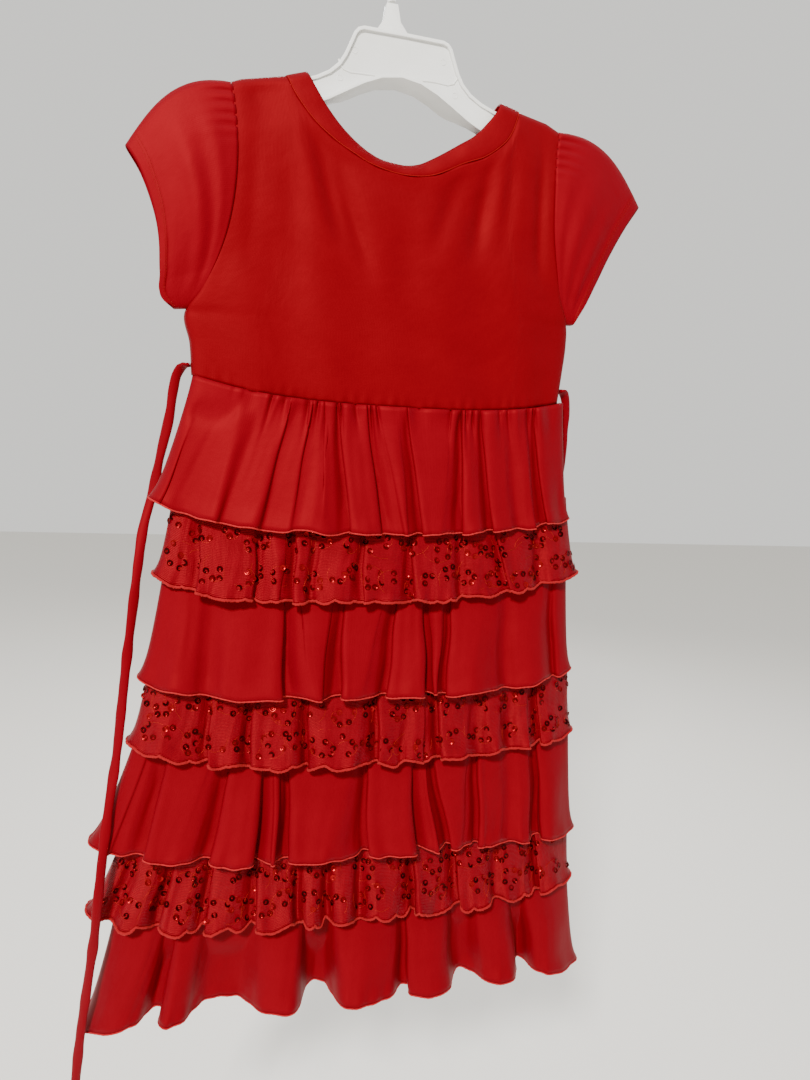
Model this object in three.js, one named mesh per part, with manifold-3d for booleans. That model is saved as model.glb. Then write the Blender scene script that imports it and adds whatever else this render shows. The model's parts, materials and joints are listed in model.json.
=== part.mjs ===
// A child's dress on its hanger: a jersey bodice with short gathered sleeves, seven gathered tiers of
// plain jersey and sequinned mesh in turn, sewn one above the other to a foundation skirt, two narrow
// waist ties, and the moulded hanger that carries it all.
// Millimetres, +Z up, the front towards -Y. The origin is the inside of the hook's crown.
import * as THREE from "three";
import { mergeVertices } from "three/addons/utils/BufferGeometryUtils.js";
import Module from "manifold-3d";

const wasm = await Module();
wasm.setup();

// ---- Driving dimensions ----
const JERSEY = 1.2; // wall of one layer of plain jersey
const MESH_CLOTH = 1.4; // wall of the sequinned mesh and its backing
const BAND_CLOTH = 1.8; // wall of the doubled neckband
const SEAM_GAP = 0.4; // clear space between two pieces that are sewn edge to edge
const LAYER_GAP = 0.4; // clear space between two layers that lie on each other

const BODICE_CENTRE = 4; // the dress sits this far to the right of the hook
const BODICE_DEPTH = 10.6; // from the middle plane to the cloth, at the chest
const SHOULDER_ROLL = 8; // height over which the cloth turns over the hanger's arm
const SHOULDER_DEPTH = 8.1; // half depth of the cloth just under the hanger's arm
const ARMHOLE_RISE = 95; // height over which the armhole opens out from the underarm
const SIDE_POWER = 3; // how square the plan of the garment is at its side folds
const BULGE = 2; // most that a face stands out between two folds

const GATHER = 0.9; // depth of the small gathers at each tier's seam
const WAIST = { left: -364, middle: -379.5, right: -366.5 };

const HANGER = { centre: -2, rim: 2.6, face: 6.6, back: 20, armHalf: 5.4, web: 2.4, recess: 2.6 };
const HOOK = { radius: 19, band: 7, sides: 10, steps: 22 };
const TIE = { width: 7, thick: 3.4, sides: 8, steps: 30 };

const WELD = 1e-4; // points closer than this are one

// ---- Small helpers ----
const lerp = THREE.MathUtils.lerp;
const clamp = THREE.MathUtils.clamp;
const vec = (x, y, z) => new THREE.Vector3(x, y, z);
const range = (n) => Array.from({ length: n + 1 }, (_, i) => i / n);

// A value read off a table by the column `key`, smooth between its rows.
function read(table, key, at, column) {
  const last = table.length - 1;
  const sign = Math.sign(table[last][key] - table[0][key]);
  let i = 0;
  while (i < last - 1 && (at - table[i + 1][key]) * sign > 0) i += 1;
  const slope = (k) => {
    const a = table[Math.max(k - 1, 0)];
    const b = table[Math.min(k + 1, last)];
    return (b[column] - a[column]) / (b[key] - a[key]);
  };
  const step = table[i + 1][key] - table[i][key];
  const t = clamp((at - table[i][key]) / step, 0, 1);
  const [a, b] = [table[i][column], table[i + 1][column]];
  const h = t * t * (3 - 2 * t);
  return lerp(a, b, h) + step * (t * (1 - t) * ((1 - t) * slope(i) - t * slope(i + 1)));
}

// How far the plan of the garment stands out at `across`, from -1 at one side fold to 1 at the other.
function bow(across) {
  const edge = Math.min(1, Math.abs(across));
  return Math.pow(Math.max(0, 1 - Math.pow(edge, SIDE_POWER)), 1 / SIDE_POWER);
}

// A closed wall of cloth from a grid of points on its middle surface. `around` joins the last column
// to the first, which leaves the two ends of the tube open.
function wall(grid, thick, around = false) {
  const columns = grid.length;
  const rows = grid[0].length;
  const columnAt = (i) => grid[around ? (i + columns) % columns : clamp(i, 0, columns - 1)];
  const at = (i, j) => columnAt(i)[clamp(j, 0, rows - 1)];
  const points = [];
  const normal = (i, j) => {
    const along = at(i + 1, j).clone().sub(at(i - 1, j));
    const down = at(i, j + 1).clone().sub(at(i, j - 1));
    const out = along.cross(down).normalize();
    if (Math.abs(at(i, j).y) <= SEAM_GAP) out.setY(0).normalize(); // seam edges end square to the seam
    return out;
  };
  for (const half of [thick / 2, -thick / 2])
    for (let i = 0; i < columns; i += 1)
      for (let j = 0; j < rows; j += 1) points.push(at(i, j).clone().addScaledVector(normal(i, j), half));
  const index = (i, j, side) => side * columns * rows + (around ? i % columns : i) * rows + j;
  const faces = [];
  const quad = (a, b, c, d) => faces.push(a, b, c, a, c, d);
  const spans = around ? columns : columns - 1;
  for (let i = 0; i < spans; i += 1)
    for (let j = 0; j < rows - 1; j += 1) {
      quad(index(i, j, 0), index(i + 1, j, 0), index(i + 1, j + 1, 0), index(i, j + 1, 0));
      quad(index(i, j, 1), index(i, j + 1, 1), index(i + 1, j + 1, 1), index(i + 1, j, 1));
    }
  for (let i = 0; i < spans; i += 1) {
    quad(index(i, 0, 0), index(i, 0, 1), index(i + 1, 0, 1), index(i + 1, 0, 0));
    const e = rows - 1;
    quad(index(i, e, 0), index(i + 1, e, 0), index(i + 1, e, 1), index(i, e, 1));
  }
  if (!around)
    for (let j = 0; j < rows - 1; j += 1) {
      quad(index(0, j, 0), index(0, j + 1, 0), index(0, j + 1, 1), index(0, j, 1));
      const e = columns - 1;
      quad(index(e, j, 0), index(e, j, 1), index(e, j + 1, 1), index(e, j + 1, 0));
    }
  return closedGeometry(points, faces);
}

// An indexed geometry whose faces point out, whichever way its grid was walked.
function closedGeometry(points, faces) {
  let volume = 0;
  for (let k = 0; k < faces.length; k += 3) {
    const [a, b, c] = [points[faces[k]], points[faces[k + 1]], points[faces[k + 2]]];
    volume += a.dot(b.clone().cross(c));
  }
  if (volume < 0) faces.reverse();
  const geometry = new THREE.BufferGeometry().setFromPoints(points);
  geometry.setIndex(faces);
  geometry.computeVertexNormals();
  return geometry;
}

// ---- The foundation skirt: the plain tube that the tiers are sewn to ----
// Left and right are measured from the middle plane of the hook, depth from the plane of the side folds.
const SKIRT = [
  { z: -360, left: 157, right: 161, depth: 8.6 },
  { z: -470, left: 172, right: 174.5, depth: 9.2 },
  { z: -530, left: 178, right: 180, depth: 9.8 },
  { z: -612, left: 189, right: 189, depth: 10.4 },
  { z: -680, left: 198.5, right: 196, depth: 11 },
  { z: -760, left: 206.5, right: 202, depth: 11.6 },
  { z: -850, left: 215, right: 209, depth: 12.2 },
];
const skirtAt = (z) => ({
  left: read(SKIRT, "z", z, "left"),
  right: read(SKIRT, "z", z, "right"),
  depth: read(SKIRT, "z", z, "depth"),
});

// ---- The tiers ----
// `top` and `hem` are heights at the left side, the middle and the right side; `left` and `right` are how
// far the hem reaches; `flare` is how far its faces stand off the foundation. Each fold is a valley
// between two faces: where it lies at the hem (x) and at the seam (top), its half width, its depth and
// how far its floor tucks sideways under the next face.
const TIERS = [
  {
    name: "tier_1", cloth: JERSEY, rows: 2, flare: 14.5, left: 193, right: 182,
    top: WAIST,
    hem: { left: -466, middle: -486, right: -475, power: 2 },
    folds: [
      { x: -172, top: -140, wide: 8, deep: 6, lean: 0 },
      { x: -149, top: -117, wide: 9, deep: 7, lean: 1 },
      { x: -121, top: -98, wide: 9, deep: 7, lean: 1 },
      { x: -92, top: -76, wide: 9, deep: 6, lean: 1 },
      { x: -34, top: -44, wide: 6, deep: 9, lean: 2 },
      { x: 0, top: -17, wide: 7, deep: 9.5, lean: -3 },
      { x: 31, top: 13, wide: 6, deep: 9, lean: 2 },
      { x: 68, top: 62, wide: 6, deep: 9, lean: 2 },
      { x: 97, top: 79, wide: 6, deep: 9, lean: 2 },
      { x: 125, top: 107, wide: 7, deep: 5, lean: 0 },
      { x: 150, top: 128, wide: 6, deep: 8.5, lean: 2 },
    ],
  },
  {
    name: "tier_2", cloth: MESH_CLOTH, rows: 2, flare: 14.5, left: 188.5, right: 192,
    top: { left: -448, middle: -467, right: -452 },
    hem: { left: -528, middle: -545, right: -523, power: 2 },
    folds: [
      { x: -160, top: -150, wide: 6, deep: 7, lean: 1 },
      { x: -108, top: -104, wide: 6, deep: 8, lean: -2 },
      { x: -79, top: -76, wide: 5, deep: 8.5, lean: 1 },
      { x: -62, top: -58, wide: 5, deep: 7, lean: 0 },
      { x: -20, top: -18, wide: 6, deep: 9, lean: 2 },
      { x: 25, top: 24, wide: 6, deep: 9, lean: 2 },
      { x: 72, top: 70, wide: 6, deep: 7.5, lean: 0 },
      { x: 115, top: 96, wide: 6, deep: 8, lean: 2 },
      { x: 152, top: 140, wide: 7, deep: 7, lean: 0 },
    ],
  },
  {
    name: "tier_3", cloth: JERSEY, rows: 2, flare: 18, left: 199.7, right: 195,
    top: { left: -508, middle: -524, right: -506 },
    hem: { left: -618, middle: -628, right: -614, power: 2 },
    folds: [
      { x: -145, top: -140, wide: 10, deep: 6, lean: 0 },
      { x: -80, top: -79, wide: 8, deep: 13, lean: -1 },
      { x: -38, top: -32, wide: 7, deep: 11, lean: 2 },
      { x: 4, top: 16, wide: 7, deep: 12, lean: 2 },
      { x: 45, top: 40, wide: 6, deep: 12, lean: -1 },
      { x: 61, top: 64, wide: 5, deep: 9, lean: 1 },
      { x: 122, top: 116, wide: 9, deep: 7, lean: 0 },
      { x: 174, top: 160, wide: 6, deep: 8, lean: 2 },
    ],
  },
  {
    name: "tier_4", cloth: MESH_CLOTH, rows: 2, flare: 16.5, left: 207.5, right: 201.5,
    top: { left: -596, middle: -610, right: -598 },
    hem: { left: -671, middle: -689, right: -676, power: 2 },
    folds: [
      { x: -147, top: -140, wide: 6, deep: 9, lean: 1 },
      { x: -112, top: -106, wide: 6, deep: 11, lean: 2 },
      { x: -62, top: -60, wide: 6, deep: 10, lean: 1 },
      { x: 1, top: 0, wide: 6, deep: 11, lean: 2 },
      { x: 28, top: 30, wide: 7, deep: 5, lean: 0 },
      { x: 60, top: 52, wide: 6, deep: 11, lean: 2 },
      { x: 98, top: 92, wide: 8, deep: 6, lean: 0 },
      { x: 130, top: 126, wide: 8, deep: 6, lean: 0 },
      { x: 160, top: 150, wide: 6, deep: 9, lean: 2 },
    ],
  },
  {
    name: "tier_5", cloth: JERSEY, rows: 2, flare: 21, left: 237, right: 211,
    top: { left: -654, middle: -676, right: -664 },
    hem: { left: -756, middle: -772, right: -777, power: 2 },
    folds: [
      { x: -201, top: -172, wide: 9, deep: 12, lean: 1 },
      { x: -146, top: -122, wide: 9, deep: 15, lean: 1 },
      { x: -101, top: -92, wide: 6, deep: 14, lean: -1 },
      { x: -75, top: -75, wide: 6, deep: 15, lean: 1 },
      { x: -6, top: -6, wide: 7, deep: 15, lean: 3 },
      { x: 43, top: 38, wide: 6, deep: 13, lean: -1 },
      { x: 73, top: 52, wide: 6, deep: 15, lean: 2 },
      { x: 101, top: 98, wide: 6, deep: 15, lean: 2 },
      { x: 136, top: 130, wide: 9, deep: 8, lean: 0 },
      { x: 168, top: 156, wide: 6, deep: 13, lean: 2 },
    ],
  },
  {
    name: "tier_6", cloth: MESH_CLOTH, rows: 2, flare: 19, left: 239, right: 213,
    top: { left: -744, middle: -757, right: -762 },
    hem: { left: -818, middle: -832, right: -826, power: 2 },
    folds: [
      { x: -222, top: -190, wide: 6, deep: 10, lean: 0 },
      { x: -184, top: -164, wide: 6, deep: 13, lean: 1 },
      { x: -146, top: -134, wide: 6, deep: 13, lean: 1 },
      { x: -104, top: -100, wide: 8, deep: 13, lean: 1 },
      { x: -62, top: -62, wide: 5, deep: 11, lean: 0 },
      { x: -37, top: -36, wide: 5, deep: 12, lean: 0 },
      { x: -6, top: -6, wide: 6, deep: 10, lean: 0 },
      { x: 43, top: 40, wide: 6, deep: 13, lean: 1 },
      { x: 86, top: 78, wide: 7, deep: 10, lean: 1 },
      { x: 128, top: 120, wide: 8, deep: 8, lean: 0 },
      { x: 172, top: 160, wide: 6, deep: 12, lean: 1 },
    ],
  },
  {
    name: "tier_7", cloth: JERSEY, rows: 3, flare: 27, left: 243, right: 227,
    top: { left: -812, middle: -816, right: -816 },
    hem: { left: -922, middle: -906, right: -920, power: 6 },
    folds: [
      { x: -185, top: -163, wide: 9, deep: 25, lean: 1 },
      { x: -127, top: -116, wide: 34, deep: 27, lean: 0 },
      { x: -43, top: -42, wide: 19, deep: 32, lean: 1 },
      { x: 38, top: 36, wide: 7, deep: 15, lean: 2 },
      { x: 99, top: 92, wide: 20, deep: 22, lean: 0 },
      { x: 162, top: 148, wide: 13, deep: 25, lean: 1 },
    ],
  },
];

// The back of each tier carries folds of the same kind, moved along so that they differ.
const BACK_SHIFT = 11;
const BACK_SCALE = 0.97;
const SIDE_ROUND = 14; // the rounding of a side fold ends this far in
function backFolds(tier) {
  const inside = SIDE_ROUND + 1;
  const moved = (x) => BACK_SHIFT - x * BACK_SCALE;
  return tier.folds
    .map((f) => ({ ...f, x: moved(f.x), top: moved(f.top), lean: -f.lean }))
    .filter((f) => f.x + f.wide < tier.right - inside && f.x - f.wide > inside - tier.left)
    .reverse();
}

// The columns of a tier, from its left side fold to its right one: x at the hem and at the seam, and how
// deep the column lies in a fold (0 on a face, negative where a face bulges).
const SIDE_COLUMNS = [0, 0.2, 0.45, 0.72];
const WIDE_FACE = 22; // a face wider than this has a column down its middle
const FACE_BULGE = 0.05; // how much such a face stands out, as a share of its width
const FLOOR = 0.3; // half width of a fold's floor, as a share of the fold's own half width
const SEAM_SHARE = 0.5; // a fold is gathered to this share of its width at the seam
function columnsOf(tier, folds) {
  const columns = [];
  const from = { x: -tier.left, top: -skirtAt(tier.top.left).left };
  const to = { x: tier.right, top: skirtAt(tier.top.right).right };
  const sideColumn = (edge, s, way) => {
    const inset = way * SIDE_ROUND * s * s;
    columns.push({ x: edge.x + inset, top: edge.top + inset, deep: 0 });
  };
  for (const s of SIDE_COLUMNS) sideColumn(from, s, 1);
  let face = { x: from.x + SIDE_ROUND, top: from.top + SIDE_ROUND };
  for (const f of folds) {
    const at = (share, deep, low) => ({
      x: f.x + f.wide * share + (low ? f.lean : 0),
      top: f.top + f.wide * share * SEAM_SHARE,
      deep,
      low,
    });
    const start = at(-1, 0, false);
    const width = start.x - face.x;
    if (width > WIDE_FACE) {
      const deep = -Math.min(BULGE, width * FACE_BULGE);
      columns.push({ x: (face.x + start.x) / 2, top: (face.top + start.top) / 2, deep });
    }
    face = at(1, 0, false);
    columns.push(start, at(-FLOOR, f.deep, true), at(FLOOR, f.deep, true), face);
  }
  columns.push({ x: (face.x + to.x - SIDE_ROUND) / 2, top: (face.top + to.top - SIDE_ROUND) / 2, deep: 0 });
  for (const s of [...SIDE_COLUMNS].reverse()) sideColumn(to, s, -1);
  return columns;
}

// Heights run from the left side over the middle to the right side, level across most of the panel. The
// greater the power, the nearer to the sides the line turns.
const TURN_POWER = 3;
function heightAcross(heights, across) {
  const share = Math.pow(Math.abs(across), heights.power ?? TURN_POWER);
  return lerp(heights.middle, across < 0 ? heights.left : heights.right, share);
}

const FLARE_POWER = 1.15;
const standOf = (cloth) => JERSEY / 2 + 2 * LAYER_GAP + cloth / 2;

// The reach to one side and the depth of a tier's face where it hangs at height z.
function faceAt(tier, z, sign) {
  const side = sign < 0 ? "left" : "right";
  const v = clamp((z - tier.top[side]) / (tier.hem[side] - tier.top[side]), 0, 1);
  const ease = Math.pow(v, FLARE_POWER);
  const stand = standOf(tier.cloth);
  return {
    reach: lerp(skirtAt(tier.top[side])[side] + stand, tier[side], ease),
    depth: skirtAt(z).depth + stand + GATHER + (tier.flare + BULGE) * ease,
  };
}

// The least depth at (x, z) that keeps this tier clear of the foundation and of the tier below it.
const OVERLAP_MARGIN = 12; // the tier below is watched from this far above its seam
function clearDepth(tier, x, z) {
  const side = x < 0 ? "left" : "right";
  const body = skirtAt(z);
  const overFoundation = body.depth * bow(x / body[side]) + standOf(tier.cloth);
  const below = TIERS[TIERS.indexOf(tier) + 1];
  if (!below || z > below.top[side] + OVERLAP_MARGIN) return overFoundation;
  const face = faceAt(below, z, x);
  const clear = (below.cloth + tier.cloth) / 2 + 2.5 * LAYER_GAP;
  return Math.max(overFoundation, face.depth * bow(x / face.reach) + clear);
}

function tierPoint(tier, column, v, side) {
  const ease = Math.pow(v, FLARE_POWER);
  const seam = column.top < 0 ? skirtAt(tier.top.left).left : skirtAt(tier.top.right).right;
  const acrossTop = clamp(column.top / seam, -1, 1);
  const acrossHem = clamp(column.x / (column.x < 0 ? tier.left : tier.right), -1, 1);
  const across = lerp(acrossTop, acrossHem, v);
  const top = heightAcross(tier.top, acrossTop) - (tier === TIERS[0] ? SEAM_GAP : 0);
  const z = lerp(top, heightAcross(tier.hem, acrossHem), v);
  const stand = standOf(tier.cloth);
  const x = across * lerp(seam + stand, across < 0 ? tier.left : tier.right, ease);
  const depth = (skirtAt(z).depth + stand + GATHER + tier.flare * ease) * bow(across);
  const fold = (column.low ? GATHER : 0) + column.deep * ease;
  const least = column.low ? clearDepth(tier, x, z) : 0;
  return vec(x, side * Math.max(depth - fold, Math.min(least, depth)), z);
}

function tierPanel(tier, side) {
  const folds = side < 0 ? tier.folds : backFolds(tier);
  const down = range(tier.rows);
  const grid = columnsOf(tier, folds).map((c) => down.map((v) => tierPoint(tier, c, v, side)));
  return wall(closeSides(grid, side), tier.cloth);
}

// The side edges of a panel, brought to the middle plane less half the seam's gap. Where a panel has
// armholes, only what lies nearer than `reach` is seam.
function closeSides(grid, side, reach = Infinity) {
  for (const edge of [grid[0], grid[grid.length - 1]])
    for (const p of edge) if (Math.abs(p.y) < reach) p.y = (side * SEAM_GAP) / 2;
  return grid;
}

// Its columns stand closer towards the side folds, where the cloth turns.
const SKIRT_COLUMNS = [0.3, 0.6, 0.8, 0.9, 0.95, 0.98, 0.995, 1];
const SKIRT_ROWS = 6;
function skirtPanel(side) {
  const across = [...SKIRT_COLUMNS.map((u) => -u).reverse(), 0, ...SKIRT_COLUMNS];
  const grid = across.map((u) =>
    range(SKIRT_ROWS).map((v) => {
      const z = lerp(heightAcross(WAIST, u) - SEAM_GAP, SKIRT[SKIRT.length - 1].z, v);
      const body = skirtAt(z);
      return vec(u * (u < 0 ? body.left : body.right), side * body.depth * bow(u), z);
    }),
  );
  return wall(closeSides(grid, side), JERSEY);
}

// ---- The bodice ----
// Its side edges: the side seams up to the underarms, then the armholes up to the shoulders.
const SIDES = [
  { z: -368, left: -160.5, right: 158.5 },
  { z: -340, left: -162.5, right: 161 },
  { z: -316, left: -166.5, right: 162.5 },
  { z: -300, left: -156, right: 161.5 },
  { z: -280, left: -146.5, right: 152.5 },
  { z: -255, left: -138, right: 145.5 },
  { z: -225, left: -132.5, right: 139.5 },
  { z: -190, left: -131, right: 137 },
  { z: -160, left: -133.5, right: 136.5 },
  { z: -138, left: -137.5, right: 138.5 },
];
const UNDERARM = { left: -314, right: -299 };
// The neckband: its free edge (x, z) and the seam below it (seamX, seamZ), from shoulder to shoulder.
const NECK = [
  { x: -79, z: -126.5, seamX: -94.5, seamZ: -131.5 },
  { x: -71, z: -139, seamX: -86.5, seamZ: -146 },
  { x: -60.5, z: -153, seamX: -73, seamZ: -161.5 },
  { x: -46.5, z: -167.5, seamX: -58, seamZ: -173 },
  { x: -27, z: -180.5, seamX: -40, seamZ: -182.5 },
  { x: -10, z: -185.5, seamX: -20, seamZ: -190.5 },
  { x: 10, z: -185.5, seamX: 6, seamZ: -194 },
  { x: 25.5, z: -179, seamX: 29, seamZ: -190.5 },
  { x: 47.5, z: -165, seamX: 52, seamZ: -179 },
  { x: 62, z: -155, seamX: 71, seamZ: -171 },
  { x: 74, z: -141.5, seamX: 86.5, seamZ: -159 },
  { x: 80.5, z: -132, seamX: 94.5, seamZ: -147 },
  { x: 83.5, z: -125.5, seamX: 100, seamZ: -129 },
];
// The shoulder line over the hanger's arms.
const SHOULDERS = [
  { x: -141, z: -144 },
  { x: -128, z: -138.5 },
  { x: -94.5, z: -131 },
  { x: -79, z: -126 },
  { x: 83.5, z: -125 },
  { x: 100, z: -128.5 },
  { x: 125, z: -133.5 },
  { x: 142, z: -141 },
];
const shoulderZ = (x) => {
  const i = clamp(SHOULDERS.findIndex((p) => p.x > x), 1, SHOULDERS.length - 1);
  const [a, b] = [SHOULDERS[i - 1], SHOULDERS[i]];
  return lerp(a.z, b.z, clamp((x - a.x) / (b.x - a.x), 0, 1));
};
const quarter = (t) => Math.sqrt(Math.max(0, 1 - (1 - clamp(t, 0, 1)) ** 2));

// Half depth of the bodice at (x, z): `across` is 0 in the middle and 1 at the side edge.
const CHEST_DROP = 40; // from the shoulder down to the full depth of the chest
function bodiceDepth(x, z, across) {
  const under = x < BODICE_CENTRE ? UNDERARM.left : UNDERARM.right;
  const armhole = quarter((z - under) / ARMHOLE_RISE);
  const plan = armhole + (1 - armhole) * bow(across);
  const below = shoulderZ(x) - z;
  const depth = lerp(SHOULDER_DEPTH, BODICE_DEPTH, clamp(below / CHEST_DROP, 0, 1));
  return depth * plan * quarter(below / SHOULDER_ROLL);
}
const sideX = (z, sign) => read(SIDES, "z", z, sign < 0 ? "left" : "right");

// Soft drag lines of the cloth under the neck: valleys from one end (x, z) to the other.
const CREASES = [
  { x: -74, z: -165, endX: -43, endZ: -262, wide: 8, deep: 2.2 },
  { x: -58, z: -180, endX: -22, endZ: -285, wide: 8, deep: 1.8 },
  { x: 80, z: -170, endX: 68, endZ: -262, wide: 8, deep: 2 },
  { x: 124, z: -150, endX: 129, endZ: -270, wide: 6, deep: 1.8 },
];
function creaseDepth(x, z) {
  let deep = 0;
  for (const c of CREASES) {
    const t = (c.z - z) / (c.z - c.endZ);
    if (t <= 0 || t >= 1) continue;
    const off = (x - lerp(c.x, c.endX, t)) / c.wide;
    deep += c.deep * Math.sin(Math.PI * t) * Math.exp(-off * off);
  }
  return deep;
}

// The top edge of a bodice panel from shoulder to shoulder, just under the neckband's seam.
const BAND_SEAM = 1.1; // from the middle of the band's edge down to the bodice's
const SHOULDER_COLUMNS = { left: [-136.9, -132, -124, -115, -105], right: [110, 119, 127, 133, 138.2] };
function bodiceTop() {
  const seam = NECK.map((n) => ({ x: n.seamX, z: n.seamZ - BAND_SEAM }));
  const onShoulder = (x) => ({ x, z: shoulderZ(x) });
  seam[0] = onShoulder(seam[0].x - 1);
  seam[seam.length - 1] = onShoulder(seam[seam.length - 1].x + 1);
  return [...SHOULDER_COLUMNS.left.map(onShoulder), ...seam, ...SHOULDER_COLUMNS.right.map(onShoulder)];
}

// The same edge with more columns where it is wide and where it turns down from the shoulder.
const WIDE_STEP = 12;
function bodiceColumns() {
  const top = bodiceTop();
  const isShoulder = (p) => p.z > shoulderZ(p.x) - 2;
  const columns = [];
  for (let i = 0; i < top.length - 1; i += 1) {
    const [a, b] = [top[i], top[i + 1]];
    let steps = b.x - a.x > WIDE_STEP ? [0, 0.5] : [0];
    if (isShoulder(a) && !isShoulder(b)) steps = [0, 0.1, 0.3, 0.6];
    if (isShoulder(b) && !isShoulder(a)) steps = [0, 0.4, 0.7, 0.9];
    for (const t of steps) columns.push({ x: lerp(a.x, b.x, t), z: lerp(a.z, b.z, t) });
  }
  return [...columns, top[top.length - 1]];
}

const BODICE_ROWS = [0, 0.2, 0.38, 0.54, 0.69, 0.83, 0.93, 0.968, 0.992, 1];
const SEAM_REACH = 1.2; // an edge nearer to the middle plane than this is a side seam, not an armhole
const CREASE_MIRROR = 8; // the back's drag lines are the front's, mirrored about half of this
function bodicePanel(side) {
  const grid = bodiceColumns().map((p) => {
    const half = Math.abs(sideX(p.z, p.x - BODICE_CENTRE) - BODICE_CENTRE);
    const across = clamp((p.x - BODICE_CENTRE) / half, -1, 1);
    const low = heightAcross(WAIST, across) + SEAM_GAP;
    return BODICE_ROWS.map((v) => {
      const z = lerp(low, p.z, v);
      const x = BODICE_CENTRE + Math.abs(across) * (sideX(z, across) - BODICE_CENTRE);
      const crease = creaseDepth(side < 0 ? x : CREASE_MIRROR - x, z);
      return vec(x, side * Math.max(bodiceDepth(x, z, across) - crease, SEAM_GAP / 2), z);
    });
  });
  return wall(closeSides(grid, side, SEAM_REACH), JERSEY);
}

// The neckband rolls back a little where it hangs slack at the centre.
const NECK_SLACK = 4;
const BAND_ENDS = [0, 0.1, 0.3, 0.6]; // extra columns where the band turns over the shoulder
const BAND_ROWS = [0, 0.35, 0.7, 1];
function neckband(side) {
  const last = NECK.length - 1;
  const middle = range(last - 2).map((t) => 1 + t * (last - 2));
  const stations = [...BAND_ENDS, ...middle, ...BAND_ENDS.map((t) => last - t).reverse()];
  const between = (at, key) => {
    const i = Math.min(Math.floor(at), last - 1);
    return lerp(NECK[i][key], NECK[i + 1][key], at - i);
  };
  const grid = stations.map((i) =>
    BAND_ROWS.map((t) => {
      const x = lerp(between(i, "seamX"), between(i, "x"), t);
      const z = lerp(between(i, "seamZ"), between(i, "z"), t);
      const slack = side < 0 ? NECK_SLACK * t * t * Math.sin((Math.PI * i) / last) ** 2 : 0;
      return vec(x, side * Math.max(bodiceDepth(x, z, 0) - slack, SEAM_GAP / 2), z);
    }),
  );
  return wall(closeSides(grid, side), BAND_CLOTH);
}

// ---- The sleeves ----
// The cuff's edge from its top corner to the underarm.
const CUFFS = {
  left: [
    { s: 0, x: -212, z: -199 },
    { s: 0.15, x: -202, z: -214 },
    { s: 0.35, x: -191.5, z: -241 },
    { s: 0.55, x: -187, z: -265 },
    { s: 0.75, x: -186, z: -289 },
    { s: 0.92, x: -184, z: -307 },
    { s: 1, x: -175, z: -314.5 },
  ],
  right: [
    { s: 0, x: 221, z: -191 },
    { s: 0.15, x: 208, z: -210 },
    { s: 0.35, x: 194, z: -236 },
    { s: 0.55, x: 183.5, z: -260 },
    { s: 0.75, x: 174.5, z: -281 },
    { s: 0.92, x: 168.5, z: -293 },
    { s: 1, x: 166.5, z: -298 },
  ],
};
const SLEEVE = { puff: 15, fullness: 5, cuffHalf: 8.5, headHalf: 0.9, around: 14, along: 6 };
const HEAD_TOP = { left: -138.6, right: 139.9 }; // x at the top of the sleeve's head
const HEAD = { edge: 137, off: 1.5, margin: 0.5, gather: 1.3, gathered: 0.3 };
const PUFF_SPREAD = { x: 0.55, z: 0.84, power: 1.6 }; // out and up, fading down the armhole
const SWELL_SKEW = 0.85; // the sleeve is fullest a little nearer to the armhole than to the cuff
function sleeve(name) {
  const sign = name === "left" ? -1 : 1;
  const grid = [];
  for (let k = 0; k < 2 * SLEEVE.around; k += 1) {
    const side = k <= SLEEVE.around ? -1 : 1;
    const step = (side < 0 ? k : 2 * SLEEVE.around - k) / SLEEVE.around;
    const s = step * step * (3 - 2 * step);
    const open = s > 0 && s < 1 ? 1 : 0;
    const headZ = lerp(shoulderZ(HEAD_TOP[name]) - HEAD.margin, UNDERARM[name] + HEAD.margin, s);
    const head = vec(sideX(headZ, sign) + sign * HEAD.off, 0, headZ);
    const cuff = vec(read(CUFFS[name], "s", s, "x"), 0, read(CUFFS[name], "s", s, "z"));
    const headHalf = open * Math.max(SLEEVE.headHalf, bodiceDepth(sign * HEAD.edge, headZ, 1));
    const cuffHalf = open * SLEEVE.cuffHalf * Math.pow(Math.sin(Math.PI * s), 0.5);
    const puff = SLEEVE.puff * Math.pow(1 - s, PUFF_SPREAD.power);
    const fullness = open * SLEEVE.fullness * Math.sin(Math.PI * Math.min(1, s * 1.1 + 0.1));
    const gather = s < HEAD.gathered && k % 2 ? HEAD.gather : 0;
    const column = range(SLEEVE.along).map((t) => {
      const swell = Math.sin(Math.PI * Math.pow(t, SWELL_SKEW));
      const p = head.clone().lerp(cuff, t);
      p.x += sign * PUFF_SPREAD.x * puff * swell;
      p.z += PUFF_SPREAD.z * puff * swell;
      const taken = gather * (1 - t) * Math.min(1, 3 * t);
      p.y = side * (lerp(headHalf, cuffHalf, t) + fullness * swell - taken);
      return p;
    });
    grid.push(column);
  }
  return wall(grid, JERSEY, true);
}

// ---- The ties ----
const TIES = {
  left: [
    [-162.5, 0.5, -357], [-166.5, 2.5, -357.3], [-171.5, 6, -363.5], [-174.5, 8.5, -376],
    [-177, 11, -396], [-184, 15, -430], [-190, 16.5, -462], [-196.5, 11, -490], [-200, 4, -520],
    [-204, 0, -560], [-208, -1, -600], [-211.5, -2, -640], [-215, -5, -680], [-219.5, -13, -715],
    [-223.5, -23, -755], [-226.5, -27, -790], [-230, -25, -830], [-235, -22, -870], [-241, -22, -920],
    [-245, -21, -966],
  ],
  right: [
    [160.8, 0.5, -356.5], [164.8, 2.5, -356.8], [169.5, 6, -362.5], [172.5, 9, -374], [174, 12, -395],
    [175.5, 16, -430], [175, 21, -462], [174, 24, -500], [173, 26.5, -550], [171, 30, -600],
    [169, 32, -640], [167, 34, -690], [164, 37, -740], [161, 40, -790], [158, 43, -840],
    [155, 47, -890], [152, 49, -940], [151, 49.5, -966],
  ],
};
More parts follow.
